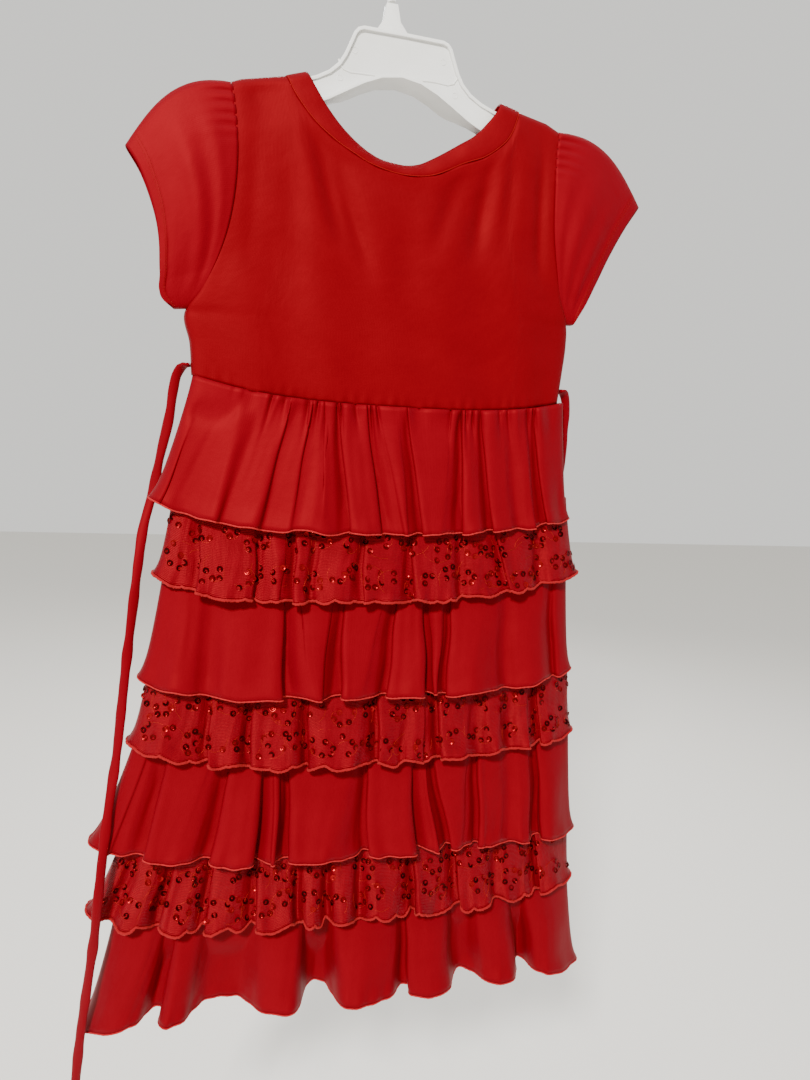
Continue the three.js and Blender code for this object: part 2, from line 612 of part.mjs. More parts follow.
// An oval section swept along a route.
function swept(route, sides, thick, width, steps) {
  const path = new THREE.CatmullRomCurve3(route, false, "centripetal");
  const section = new THREE.Shape();
  for (let i = 0; i < sides; i += 1) {
    const angle = ((i + 0.5) / sides) * 2 * Math.PI;
    const [a, b] = [(Math.cos(angle) * thick) / 2, (Math.sin(angle) * width) / 2];
    if (i === 0) section.moveTo(a, b);
    else section.lineTo(a, b);
  }
  const geometry = new THREE.ExtrudeGeometry(section, { steps, extrudePath: path });
  return mergeVertices(stripped(geometry), WELD);
}
function tie(route) {
  const points = route.map(([x, y, z]) => vec(x, y, z));
  return swept(points, TIE.sides, TIE.thick, TIE.width, TIE.steps);
}

// ---- The hanger ----
// Half of its outline, x from its middle: the plate's top, the arm over the shoulder, back underneath.
const HALF_OUTLINE = [
  [0, -86], [33, -86.3], [37.5, -88], [40.5, -91.5], [43.5, -99], [47.5, -108.5], [52, -116],
  [59, -122.5], [69, -128], [80, -132], [96, -136.5], [112, -140.5], [127, -145], [138, -150],
  [146, -157], [147, -161], [143, -164], [136, -163], [124, -158.5], [104, -155.5], [84, -153.5],
  [70, -149.5], [58, -144], [44, -136], [30, -128], [16, -122], [0, -119.5],
];
// Half of its plan, x from its middle: the flange is deep behind the plate, and less deep from where the
// arms slope down into the shoulders.
const HALF_PLAN = [
  [0, -HANGER.face], [42, -HANGER.face], [66, -HANGER.armHalf], [160, -HANGER.armHalf],
  [160, HANGER.armHalf], [68, HANGER.armHalf], [60, 7], [53, 11.5], [46, 17.5], [40, HANGER.back],
  [0, HANGER.back],
];
const stripped = (geometry) => {
  geometry.deleteAttribute("uv");
  geometry.deleteAttribute("normal");
  return geometry;
};
const onCentre = (p, way) => new THREE.Vector2(HANGER.centre + way * p.x, p.y);
function mirrored(half) {
  const other = half.slice(1, -1).reverse();
  return [...half.map((p) => onCentre(p, 1)), ...other.map((p) => onCentre(p, -1))];
}
const ARM_SOLID = 130; // beyond this the arm's end is solid
function outline(inset) {
  const kept = HALF_OUTLINE.filter(([x]) => inset < HANGER.rim || x < ARM_SOLID);
  const half = kept.map(([x, z], i, all) => {
    const [a, b] = [all[Math.max(i - 1, 0)], all[Math.min(i + 1, all.length - 1)]];
    const along = new THREE.Vector2(b[0] - a[0], b[1] - a[1]).normalize();
    return new THREE.Vector2(i === 0 || i === all.length - 1 ? 0 : x + along.y * inset, z - along.x * inset);
  });
  return mirrored(half);
}
function manifoldOf(geometry) {
  const merged = mergeVertices(geometry, WELD);
  return new wasm.Manifold(
    new wasm.Mesh({
      numProp: 3,
      vertProperties: new Float32Array(merged.attributes.position.array),
      triVerts: new Uint32Array(merged.index.array),
    }),
  );
}
const extruded = (points, depth) =>
  stripped(new THREE.ExtrudeGeometry(new THREE.Shape(points), { depth, bevelEnabled: false }));
// A plate of this outline, from y = -face to y = back, and a block of this plan, from low to high.
function slab(points, face, back) {
  return manifoldOf(extruded(points, face + back).rotateX(Math.PI / 2).translate(0, back, 0));
}
function block(points, low, high) {
  return manifoldOf(extruded(points, high - low).translate(0, 0, low));
}
function fromManifold(solid) {
  const all = solid.getMesh();
  const points = [];
  for (let i = 0; i < all.vertProperties.length; i += 3)
    points.push(vec(...all.vertProperties.slice(i, i + 3)));
  return closedGeometry(points, Array.from(all.triVerts));
}
// The foot under the hook's stem, and half its depth.
const FOOT = [[-25, -87.5], [-19, -78], [-17, -65.2], [-8, -65.2], [-5, -78], [3, -87.5]];
const FOOT_HALF = 4.5;
const BODY_HEIGHTS = [-180, -80]; // the block that trims the flange reaches past it both ways
function hangerBody() {
  const { rim, face, back, web, recess } = HANGER;
  const plan = block(mirrored(HALF_PLAN.map(([x, y]) => new THREE.Vector2(x, y))), ...BODY_HEIGHTS);
  const flange = slab(outline(0), face, back).subtract(slab(outline(rim), face + 1, back + 1));
  const plate = slab(outline(rim * 0.5), face - recess, web + recess - face);
  const foot = slab(FOOT.map(([x, z]) => new THREE.Vector2(x, z)), FOOT_HALF, FOOT_HALF);
  return fromManifold(flange.intersect(plan).add(plate).add(foot));
}

const STEM = [[-12.5, -63.6], [-15.5, -52], [-20.5, -36]];
const CROWN = [180, 157.5, 135, 112.5, 90, 67.5, 45, 22.5, 0, -20]; // degrees round the hook
function hook() {
  const middle = HOOK.radius + HOOK.band / 2;
  const crown = CROWN.map((degrees) => {
    const angle = THREE.MathUtils.degToRad(degrees);
    return vec(middle * Math.cos(angle), 0, middle * Math.sin(angle) - HOOK.radius);
  });
  const route = [...STEM.map(([x, z]) => vec(x, 0, z)), ...crown];
  return swept(route, HOOK.sides, HOOK.band, HOOK.band, HOOK.steps);
}

// ---- Assembly ----
const dress = new THREE.Group();
const COLOURS = {
  jersey: new THREE.MeshStandardMaterial({ color: 0xb5101c, roughness: 0.62, metalness: 0 }),
  mesh: new THREE.MeshStandardMaterial({ color: 0x9c0a12, roughness: 0.5, metalness: 0 }),
  plastic: new THREE.MeshStandardMaterial({ color: 0xe9e6de, roughness: 0.35, metalness: 0 }),
};
function add(name, geometry, finish) {
  const mesh = new THREE.Mesh(geometry, COLOURS[finish].clone());
  mesh.name = name;
  dress.add(mesh);
}
add("hook", hook(), "plastic");
add("hanger", hangerBody(), "plastic");
for (const [where, side] of [["front", -1], ["back", 1]]) {
  add(`bodice_${where}`, bodicePanel(side), "jersey");
  add(`neckband_${where}`, neckband(side), "jersey");
  add(`foundation_${where}`, skirtPanel(side), "jersey");
  for (const tier of TIERS) {
    const finish = tier.cloth === JERSEY ? "jersey" : "mesh";
    add(`${tier.name}_${where}`, tierPanel(tier, side), finish);
  }
}
add("sleeve_left", sleeve("left"), "jersey");
add("sleeve_right", sleeve("right"), "jersey");
add("tie_left", tie(TIES.left), "jersey");
add("tie_right", tie(TIES.right), "jersey");

export default dress;
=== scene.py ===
# %% [markdown]
# # A tiered sequin dress on its hanger
#
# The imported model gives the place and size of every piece. This script dresses it: fine cloth with
# gathers and rolled hems, sewn sequins, stitches, limp ties and a moulded hanger.
# All lengths in the tables are millimetres, as a dressmaker writes them. `MM` turns them into metres
# at the last moment, when a point goes into a mesh.

# %% Load the frame
import json
import math

import bmesh
import bpy
import numpy as np
from mathutils import Matrix, Vector

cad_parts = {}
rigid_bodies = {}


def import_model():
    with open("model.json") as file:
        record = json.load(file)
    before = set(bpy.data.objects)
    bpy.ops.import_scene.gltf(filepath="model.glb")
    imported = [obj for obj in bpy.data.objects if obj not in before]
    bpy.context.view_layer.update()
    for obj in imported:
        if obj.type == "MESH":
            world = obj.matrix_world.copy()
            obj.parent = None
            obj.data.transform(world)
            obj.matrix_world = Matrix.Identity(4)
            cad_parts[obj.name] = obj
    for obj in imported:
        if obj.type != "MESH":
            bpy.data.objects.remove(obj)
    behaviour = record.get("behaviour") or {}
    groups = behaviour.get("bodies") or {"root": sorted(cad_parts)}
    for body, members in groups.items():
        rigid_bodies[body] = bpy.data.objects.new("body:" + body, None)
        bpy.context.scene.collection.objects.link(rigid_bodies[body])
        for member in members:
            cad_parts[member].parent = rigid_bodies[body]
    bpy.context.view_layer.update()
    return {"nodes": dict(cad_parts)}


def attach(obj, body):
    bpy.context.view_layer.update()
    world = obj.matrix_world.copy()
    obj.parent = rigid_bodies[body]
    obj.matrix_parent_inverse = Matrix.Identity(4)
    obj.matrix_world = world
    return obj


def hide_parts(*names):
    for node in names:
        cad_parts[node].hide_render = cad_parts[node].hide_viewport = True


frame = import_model()
MM = 0.001
print("frame nodes:", len(frame["nodes"]))

# %% [markdown]
# ## Where the viewer stands
#
# The dress is seen from a little to its left, level with its waist seam, and slightly from above.
# A camera's matrix could come from a "look at" helper, but this view is also rolled a few degrees,
# so its three axes are worked out from yaw, pitch and roll and set side by side.

# %% Camera
VIEW = {"place": (-166.6, -682.0, -396.6), "yaw": 15.6, "pitch": 7.9, "roll": 3.25, "lens": 27.03}


def camera_axes(yaw, pitch, roll):
    y, p, r = (math.radians(a) for a in (yaw, pitch, roll))
    ahead = Vector((math.sin(y) * math.cos(p), math.cos(y) * math.cos(p), -math.sin(p)))
    level = Vector((math.cos(y), -math.sin(y), 0))
    upright = level.cross(ahead)
    right = math.cos(r) * level + math.sin(r) * upright
    up = -math.sin(r) * level + math.cos(r) * upright
    return right, up, ahead


camera = bpy.data.objects.new("camera", bpy.data.cameras.new("camera"))
bpy.context.collection.objects.link(camera)
camera.data.lens = VIEW["lens"]
camera.data.sensor_width = 36
camera.data.clip_start = 0.01
right, up, ahead = camera_axes(VIEW["yaw"], VIEW["pitch"], VIEW["roll"])
turn = Matrix((right, up, -ahead)).transposed().to_4x4()
camera.matrix_world = Matrix.Translation(Vector(VIEW["place"]) * MM) @ turn
bpy.context.scene.camera = camera
print("camera at", [round(c, 3) for c in camera.location])

# %% [markdown]
# ## Small helpers for curves and noise
#
# Everything on the dress is drawn from short tables. `through` runs a smooth curve through a table's
# values, as a flexible ruler does, and `ripple` gives a gentle irregular wave that is the same on
# every run, because its phases come from a seeded generator.

# %% Curves and ripples


def through(knots, values, at):
    knots, values, at = (np.asarray(a, float) for a in (knots, values, at))
    slope = np.gradient(values, knots)
    k = np.clip(np.searchsorted(knots, at) - 1, 0, len(knots) - 2)
    step = knots[k + 1] - knots[k]
    t = np.clip((at - knots[k]) / step, 0, 1)
    h = t * t * (3 - 2 * t)
    bend = step * (t * (1 - t) * ((1 - t) * slope[k] - t * slope[k + 1]))
    return values[k] + (values[k + 1] - values[k]) * h + bend


def ripple(along, wavelength, seed, waves=4):
    rng = np.random.default_rng(seed)
    total = np.zeros_like(np.asarray(along, float))
    for _ in range(waves):
        length = wavelength * rng.uniform(0.65, 1.5)
        total = total + np.sin(2 * np.pi * along / length + rng.uniform(0, 2 * np.pi))
    return total / math.sqrt(waves)


def lerp(a, b, t):
    return a + (b - a) * t


def smoothstep(low, high, value):
    t = np.clip((value - low) / (high - low), 0, 1)
    return t * t * (3 - 2 * t)


# %% [markdown]
# ## Shader maths as plain expressions
#
# A node tree is easier to read as arithmetic. `Sig` wraps a socket, and adding or multiplying two of
# them adds the Math node that does it. `Finish` starts a material and adds any other node: settings
# first, then what feeds its sockets.

# %% Node helpers


class Sig:
    def __init__(self, tree, socket):
        self.tree, self.socket = tree, socket

    def _math(self, operation, a, b):
        node = self.tree.nodes.new("ShaderNodeMath")
        node.operation = operation
        for socket, value in zip(node.inputs, (a, b)):
            if isinstance(value, Sig):
                self.tree.links.new(value.socket, socket)
            else:
                socket.default_value = value
        return Sig(self.tree, node.outputs[0])

    def __add__(self, other):
        return self._math("ADD", self, other)

    def __sub__(self, other):
        return self._math("SUBTRACT", self, other)

    def __rsub__(self, other):
        return self._math("SUBTRACT", other, self)

    def __mul__(self, other):
        return self._math("MULTIPLY", self, other)

    def __pow__(self, other):
        return self._math("POWER", self, other)

    __radd__ = __add__
    __rmul__ = __mul__


class Finish:
    def __init__(self, name, roughness=0.5, **constants):
        self.material = bpy.data.materials.new(name)
        self.material.use_nodes = True
        self.tree = self.material.node_tree
        self.shader = self.tree.nodes["Principled BSDF"]
        self.shader.inputs["Roughness"].default_value = roughness
        for socket, value in constants.items():
            self.shader.inputs[socket.replace("_", " ")].default_value = value

    def node(self, kind, output=0, settings=None, **inputs):
        node = self.tree.nodes.new("ShaderNode" + kind)
        for key, value in (settings or {}).items():
            setattr(node, key, value)
        for key, value in inputs.items():
            self.feed(node.inputs[key.replace("_", " ")], value)
        return Sig(self.tree, node.outputs[output])

    def feed(self, socket, value):
        if isinstance(value, Sig):
            self.tree.links.new(value.socket, socket)
        else:
            socket.default_value = value

    def mixed(self, factor, a, b):
        node = self.tree.nodes.new("ShaderNodeMix")
        node.data_type = "RGBA"
        for index, value in ((0, factor), (6, a), (7, b)):
            self.feed(node.inputs[index], value)
        return Sig(self.tree, node.outputs[2])

    def colour(self, value):
        self.feed(self.shader.inputs["Base Color"], value)

    def bump(self, height, distance, strength=1.0):
        bumped = self.node("Bump", Height=height, Distance=distance, Strength=strength)
        self.feed(self.shader.inputs["Normal"], bumped)


# %% [markdown]
# ## The cloth's finishes
#
# The plain tiers and the bodice are a smooth polyester knit: its ribs are half a millimetre wide, so
# they show only as a soft, slightly silky tooth. They follow the cloth, so they are drawn on the UV
# map, which holds each point's place on the flat cut in metres. The light brushed look at a glancing
# angle is the shader's own sheen.

# %% Jersey
RIB = 0.0011  # width of one rib of the knit, in metres
BAND_SPAN = 0.314  # the wave texture repeats after this length divided by its scale
GLOSS_TINT = (1, 0.06, 0.05, 1)  # dyed fibres reflect their own red
JERSEY_RED = (0.125, 0.0001, 0.0034, 1)
JERSEY_DEEP = (0.100, 0.0001, 0.0028, 1)
TIER_RED = (0.138, 0.0002, 0.0048, 1)
TIER_DEEP = (0.112, 0.0001, 0.0038, 1)


def jersey(name, light, deep, sheen):
    cloth = Finish(name, 0.55, Sheen_Weight=sheen, Sheen_Roughness=0.35, Sheen_Tint=(1, 0.12, 0.11, 1))
    cloth.shader.inputs["Specular IOR Level"].default_value = 0.3
    cloth.shader.inputs["Specular Tint"].default_value = GLOSS_TINT
    place = cloth.node("TexCoord", output=2)
    patches = cloth.node("TexNoise", Vector=place, Scale=38, Detail=3)
    slubs = cloth.node("TexNoise", Vector=cloth.node("Mapping", Vector=place, Scale=(1, 0.2, 1)), Scale=700, Detail=2)
    cloth.colour(cloth.mixed(patches * 0.8 + slubs * 0.5 - 0.15, deep, light))
    across = {"bands_direction": "X"}
    ribs = cloth.node("TexWave", settings=across, Vector=place, Scale=BAND_SPAN / RIB, Distortion=0.6)
    fuzz = cloth.node("TexNoise", Vector=place, Scale=900, Detail=2)
    creases = cloth.node("TexNoise", Vector=place, Scale=70, Detail=4)
    cloth.bump(ribs * 0.25 + fuzz * 0.6 + creases * 4.0, distance=0.00018, strength=0.55)
    return cloth.material


bodice_jersey = jersey("bodice_jersey", JERSEY_RED, JERSEY_DEEP, 0.05)
tier_jersey = jersey("tier_jersey", TIER_RED, TIER_DEEP, 0.04)

# %% [markdown]
# The sequinned mesh is a thinner knit. Its fine rows run along the strip, level with the hem, and the
# sewing of the sequins has crinkled it a little. Bands along the cut give the rows, and a noise drawn
# out down the cut gives the crinkles, both as tone and as relief.

# %% Sequin mesh and threads
KNIT_ROW = 0.0013  # from one row of the mesh to the next, in metres
mesh = Finish("crinkled_mesh", 0.48, Sheen_Weight=0.04, Sheen_Roughness=0.3, Sheen_Tint=(1, 0.1, 0.08, 1))
mesh.shader.inputs["Specular Tint"].default_value = GLOSS_TINT
mesh_place = mesh.node("TexCoord", output=2)
along_hem = {"bands_direction": "Y"}
knit = mesh.node("TexWave", settings=along_hem, Vector=mesh_place, Scale=BAND_SPAN / KNIT_ROW, Distortion=1.2)
drawn_out = mesh.node("Mapping", Vector=mesh_place, Scale=(1, 0.16, 1))
crinkle = mesh.node("TexNoise", Vector=drawn_out, Scale=330, Detail=3)
broad = mesh.node("TexNoise", Vector=mesh_place, Scale=55, Detail=2)
net = mesh.node("TexVoronoi", Vector=mesh_place, Scale=1100)
mesh_tone = knit * 0.26 + crinkle * 0.40 + broad * 0.50 - 0.10
mesh.colour(mesh.mixed(mesh_tone, (0.070, 0.0001, 0.0028, 1), (0.180, 0.0001, 0.0064, 1)))
mesh.bump(knit * 1.2 + crinkle * 1.8 + net * 0.5, distance=0.0003, strength=0.7)


def thread(name, colour, twist, roughness=0.75, metallic=0.0):
    yarn = Finish(name, roughness, Metallic=metallic, Sheen_Weight=0.2, Sheen_Tint=(1, 0.15, 0.12, 1))
    yarn.shader.inputs["Specular Tint"].default_value = GLOSS_TINT
    place = yarn.node("TexCoord", output=3)
    lay = yarn.node("TexNoise", Vector=place, Scale=1 / twist, Detail=2)
    dark = tuple(c * 0.6 for c in colour[:3]) + (1,)
    yarn.colour(yarn.mixed(lay, dark, colour))
    yarn.bump(lay, distance=0.0003)
    return yarn.material


hem_thread = thread("hem_thread", (0.36, 0.014, 0.018, 1), 0.0012)
merrow_thread = thread("merrow_thread", (0.27, 0.008, 0.012, 1), 0.0016, 0.85)
stitch_thread = thread("stitch_thread", (0.20, 0.002, 0.004, 1), 0.001)
lurex_thread = thread("lurex_thread", (0.42, 0.022, 0.010, 1), 0.002, 0.35, 0.5)

# %% [markdown]
# A sequin is a thin cup of shiny film with a hole in it. Each carries its own value in a face colour
# attribute, written at random when it is placed: painted reflection, dark for a sequin that mirrors a
# dark room and light for a painted glint, so that some read dark and some catch the light.

# %% Sequins and plastic
film = Finish("sequin_film", 0.26, Metallic=0.7)
film.shader.inputs["Specular Tint"].default_value = GLOSS_TINT
# painted reflection: the attribute mixes from a near-black red, standing in for a dark room mirrored in the film, to a
# light red standing in for a glint
reflection_tone = film.node("Attribute", output=2, settings={"attribute_name": "reflection_tone"})
film.colour(film.mixed(reflection_tone, (0.010, 0.0001, 0.0006, 1), (0.30, 0.006, 0.009, 1)))

plastic = Finish("hanger_plastic", 0.32, Subsurface_Weight=0.25, Coat_Weight=0.15)
plastic.shader.inputs["Subsurface Radius"].default_value = (0.004, 0.004, 0.0035)
grain = plastic.node("TexNoise", Vector=plastic.node("TexCoord", output=3), Scale=60, Detail=2)
plastic.colour(plastic.mixed(grain, (0.64, 0.635, 0.605, 1), (0.70, 0.695, 0.67, 1)))
plastic.bump(grain, distance=0.0002, strength=0.4)
print("finishes:", len(bpy.data.materials))

# %% [markdown]
# ## How a panel of cloth is made
#
# Every panel starts as a flat grid, like the cut piece on the table. A function then says where each
# point of the cut hangs, and the grid's points are moved there. The wall comes last, from a Solidify
# modifier, so both faces share one set of folds. Simulating the cloth would give other folds than
# the ones this dress hangs in, so they are placed one by one.

# %% Panel helper
CLOTH_WALL = 0.8
BODY = "root"


def finish_piece(obj, material, nodes=()):
    obj.data.materials.append(material)
    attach(obj, BODY)
    if nodes:
        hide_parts(*nodes)
    return obj


def object_of(name, mesh_data):
    obj = bpy.data.objects.new(name, mesh_data)
    bpy.context.collection.objects.link(obj)
    return obj


def applied(obj):
    """The object with its modifiers worked into the mesh."""
    name = obj.data.name
    done = bpy.data.meshes.new_from_object(obj.evaluated_get(bpy.context.evaluated_depsgraph_get()))
    obj.modifiers.clear()
    obj.data = done
    done.name = name
    return obj


def hang_panel(name, hang, columns, rows, cut, facing=-1, round_tube=False, thick=CLOTH_WALL):
    """A grid of cloth, each point placed by hang(s, t): s runs across the cut and t down it."""
    panel = bmesh.new()
    flat = panel.loops.layers.uv.new("cut")
    bmesh.ops.create_grid(panel, x_segments=columns, y_segments=rows, size=0.5, calc_uvs=True)
    s = np.array([v.co.x + 0.5 if facing < 0 else 0.5 - v.co.x for v in panel.verts])
    t = np.array([0.5 - v.co.y for v in panel.verts])
    for face in panel.faces:
        face.smooth = True
        for loop in face.loops:
            across = loop.vert.co.x + 0.5
            loop[flat].uv = (across * cut[0], (0.5 + loop.vert.co.y) * cut[1])
    points = np.stack(hang(s, t), axis=1) * MM
    for v, point in zip(panel.verts, points):
        v.co = point
    if round_tube:
        bmesh.ops.remove_doubles(panel, verts=panel.verts, dist=0.00005)
    mesh_data = bpy.data.meshes.new(name)
    panel.to_mesh(mesh_data)
    panel.free()
    obj = object_of(name + "_cloth", mesh_data)
    print(obj.name, columns, "x", rows, "area", round(sum(p.area for p in mesh_data.polygons), 4))
    wall = obj.modifiers.new("wall", "SOLIDIFY")
    wall.thickness = thick * MM
    wall.offset = 0
    return applied(obj)


def point_and_normal(hang, s, t, facing):
    """Where a point of a panel hangs, which way it faces, and which way its cut runs."""
    step = 1e-3
    here = np.stack(hang(s, t), axis=-1)
    across = np.stack(hang(s + step, t), axis=-1) - np.stack(hang(s - step, t), axis=-1)
    down = np.stack(hang(s, t + step), axis=-1) - np.stack(hang(s, t - step), axis=-1)
    out = np.cross(across, down) * (1 if facing < 0 else -1)
    unit = lambda a: a / np.maximum(np.linalg.norm(a, axis=-1, keepdims=True), 1e-9)
    out = unit(out)
    out = np.where((out[..., 1:2] * facing) < -0.2, -out, out)
    return here, out, unit(across), unit(down)


# %% [markdown]
# A rolled hem, a stitch or a thread is a narrow tube along a path. A curve with a round bevel makes
# one tube or hundreds at once, and is then turned into a mesh.

# %% Tube helper


def tubes(name, paths, radius, sides=2, closed=False, radii=None):
    """One mesh with a round tube along each path of points, in millimetres."""
    curve = bpy.data.curves.new(name, "CURVE")
    curve.dimensions = "3D"
    curve.bevel_depth = radius * MM
    curve.bevel_resolution = sides
    curve.use_fill_caps = True
    for number, path in enumerate(paths):
        spline = curve.splines.new("POLY")
        spline.points.add(len(path) - 1)
        flat = np.ones((len(path), 4))
        flat[:, :3] = np.asarray(path) * MM
        spline.points.foreach_set("co", flat.ravel())
        if radii is not None:
            spline.points.foreach_set("radius", radii[number])
        spline.use_cyclic_u = closed
    holder = object_of(name + "_curve", curve)
    mesh_data = bpy.data.meshes.new_from_object(holder.evaluated_get(bpy.context.evaluated_depsgraph_get()))
    bpy.data.objects.remove(holder)
    mesh_data.name = name
    for polygon in mesh_data.polygons:
        polygon.use_smooth = True
    return object_of(name, mesh_data)


# %% [markdown]
# ## The foundation skirt
#
# The tiers are sewn to a plain flared skirt. It hardly shows, but it sets how far each tier stands
# off, so its table comes first: half widths to the left and right, and half depth, at each height.

# %% Foundation skirt
JERSEY_WALL, MESH_WALL, LAYER_GAP = 1.2, 1.4, 0.4
SIDE_POWER = 3
SKIRT = np.array([
    # height, left, right, depth
    (-360, 157, 161, 8.6),
    (-470, 172, 174.5, 9.2),
    (-530, 178, 180, 9.8),
    (-612, 189, 189, 10.4),
    (-680, 198.5, 196, 11),
    (-760, 206.5, 202, 11.6),
    (-850, 215, 209, 12.2),
])
WAIST = {"left": -364, "middle": -379.5, "right": -366.5}


def skirt_at(z):
    return tuple(through(-SKIRT[:, 0], SKIRT[:, k], -np.asarray(z)) for k in (1, 2, 3))


def bow(across):
    """How far the flattened tube of the dress stands out, from its side folds to its middle."""
    edge = np.clip(np.abs(across), 0, 1)
    return np.maximum(0, 1 - edge**SIDE_POWER) ** (1 / SIDE_POWER)


def height_across(heights, across):
    """Level in the middle, turning up to the sides: a greater power turns nearer to the side."""
    side = np.where(across < 0, heights["left"], heights["right"])
    power = np.where(across < 0, *heights.get("power", (3, 3)))
    return lerp(heights["middle"], side, np.abs(across) ** power)


def side_eased(s):
    """Columns crowd towards the side folds, where the cloth turns."""
    return np.sin((s - 0.5) * np.pi)


def hang_foundation(facing):
    def hang(s, t):
        across = side_eased(s)
        z = lerp(height_across(WAIST, across) - 0.4, SKIRT[-1, 0], t)
        left, right, depth = skirt_at(z)
        x = across * np.where(across < 0, left, right)
        return x, facing * depth * bow(across), z

    return hang


SIDES = (("front", -1), ("back", 1))
for where, facing in SIDES:
    foundation = hang_panel(f"foundation_{where}", hang_foundation(facing), 60, 24, (0.43, 0.485), facing)
    finish_piece(foundation, bodice_jersey, [f"foundation_{where}"])

# %% [markdown]
# ## The tiers
#
# Seven gathered strips, plain jersey and sequinned mesh in turn. Each row of a tier's table is one
# fold: a valley between two faces, with its place at the hem and at the seam, its half width, its
# depth, and how far it leans under one of the faces. The back hangs in folds of the same kind, moved
# along.

# %% Fold tables
FOLD = ("hem_x", "seam_x", "wide", "deep", "lean")
TIERS = [
    {
        "name": "tier_1", "cloth": "jersey", "flare": 14.5, "left": 192, "right": 177.5, "cut": (0.56, 0.118),
        "seam": WAIST, "hem": {"left": -466, "middle": -487, "right": -473, "power": (4, 2)},
        "swag": (-150, -360, 36, 7, 3.0),  # centre x and z, radius, half width and depth of a curved drag
        "folds": [
            (-170, -134, 14, 3.6, 0), (-141, -105, 16, 4.4, 0), (-107, -82, 12, 4.6, 0), (-76, -62, 9, 4, 0),
            (-34, -44, 6, 9, 2), (0, -17, 7, 9.5, -3), (31, 13, 6, 9, 2), (68, 62, 6, 9, 2),
            (97, 79, 6, 9, 2), (125, 107, 7, 5, 0), (150, 128, 6, 8.5, 2),
        ],
    },
    {
        "name": "tier_2", "cloth": "mesh", "flare": 14.5, "left": 188, "right": 190.5, "cut": (0.56, 0.082),
        "seam": {"left": -448, "middle": -467, "right": -452},
        "hem": {"left": -528, "middle": -545, "right": -523, "power": (5, 2)},
        "folds": [
            (-160, -150, 6, 7, 1), (-108, -104, 6, 8, -2), (-79, -76, 5, 8.5, 1), (-62, -58, 5, 7, 0),
            (-20, -18, 6, 9, 2), (25, 24, 6, 9, 2), (72, 70, 6, 7.5, 0), (115, 96, 6, 8, 2),
            (152, 140, 7, 7, 0),
        ],
    },
    {
        "name": "tier_3", "cloth": "jersey", "flare": 18, "left": 198.5, "right": 191.8, "cut": (0.58, 0.112),
        "seam": {"left": -508, "middle": -524, "right": -506},
        "hem": {"left": -615, "middle": -628, "right": -615, "power": (4, 3)},
        "folds": [
            (-145, -140, 10, 6, 0), (-80, -79, 8, 13, -1), (-38, -32, 7, 11, 2), (4, 16, 7, 12, 2),
            (45, 40, 6, 12, -1), (61, 64, 5, 9, 1), (122, 116, 9, 7, 0), (174, 160, 6, 8, 2),
        ],
    },
    {
        "name": "tier_4", "cloth": "mesh", "flare": 16.5, "left": 206.5, "right": 198.6, "cut": (0.60, 0.088),
        "seam": {"left": -596, "middle": -610, "right": -598},
        "hem": {"left": -670, "middle": -689, "right": -676, "power": (3, 2)},
        "folds": [
            (-147, -140, 6, 9, 1), (-112, -106, 6, 11, 2), (-62, -60, 6, 10, 1), (1, 0, 6, 11, 2),
            (28, 30, 7, 5, 0), (60, 52, 6, 11, 2), (98, 92, 8, 6, 0), (130, 126, 8, 6, 0),
            (160, 150, 6, 9, 2),
        ],
    },
    {
        "name": "tier_5", "cloth": "jersey", "flare": 21, "left": 236, "right": 209, "cut": (0.66, 0.115),
        "seam": {"left": -654, "middle": -676, "right": -664},
        "hem": {"left": -756, "middle": -772, "right": -775, "power": (3, 2)},
        "folds": [
            (-201, -172, 9, 12, 1), (-146, -122, 9, 15, 1), (-101, -92, 6, 14, -1), (-75, -75, 6, 15, 1),
            (-6, -6, 7, 15, 3), (43, 38, 6, 13, -1), (73, 52, 6, 15, 2), (101, 98, 6, 15, 2),
            (136, 130, 9, 8, 0), (168, 156, 6, 13, 2),
        ],
    },
    {
        "name": "tier_6", "cloth": "mesh", "lobes": 1.2, "flare": 19, "left": 238, "right": 211, "cut": (0.68, 0.084),
        "seam": {"left": -744, "middle": -757, "right": -762},
        "hem": {"left": -818, "middle": -832, "right": -826, "power": (3, 2)},
        "folds": [
            (-222, -190, 6, 10, 0), (-184, -164, 6, 13, 1), (-146, -134, 6, 13, 1), (-104, -100, 8, 13, 1),
            (-62, -62, 5, 11, 0), (-37, -36, 5, 12, 0), (-6, -6, 6, 10, 0), (43, 40, 6, 13, 1),
            (86, 78, 7, 10, 1), (128, 120, 8, 8, 0), (172, 160, 6, 12, 1),
        ],
    },
    {
        "name": "tier_7", "cloth": "jersey", "round": 2.2, "flare": 27, "left": 242, "right": 224.6, "cut": (0.74, 0.108),
        "seam": {"left": -812, "middle": -816, "right": -816},
        "hem": {"left": -922, "middle": -906, "right": -915, "power": (6, 6)},
        "folds": [
            (-185, -163, 9, 25, 1), (-127, -116, 34, 27, 0), (-43, -42, 19, 32, 1), (38, 36, 7, 15, 2),
            (99, 92, 20, 22, 0), (162, 148, 13, 25, 1),
        ],
    },
]
BACK_SHIFT, BACK_SCALE, SIDE_ROUND = 11, 0.97, 14
FLARE_POWER, FOLD_POWER = 1.15, 0.62
GATHER = 0.9
FLICK = 3.6  # how far the corner of a hem flicks out beyond its side fold


def back_folds(tier):
    moved = [(BACK_SHIFT - x * BACK_SCALE, BACK_SHIFT - top * BACK_SCALE, wide, deep, -lean)
             for x, top, wide, deep, lean in reversed(tier["folds"])]
    inside = SIDE_ROUND + 1
    return [f for f in moved if inside - tier["left"] < f[0] - f[2] and f[0] + f[2] < tier["right"] - inside]


# %% [markdown]
# The profile of a strip is a smooth line through a few stations of each fold. Where a fold leans, the
# face on that side rolls over the valley a little, which gives the hard dark edge of an overlapping
# gather. Wide waves are left round.

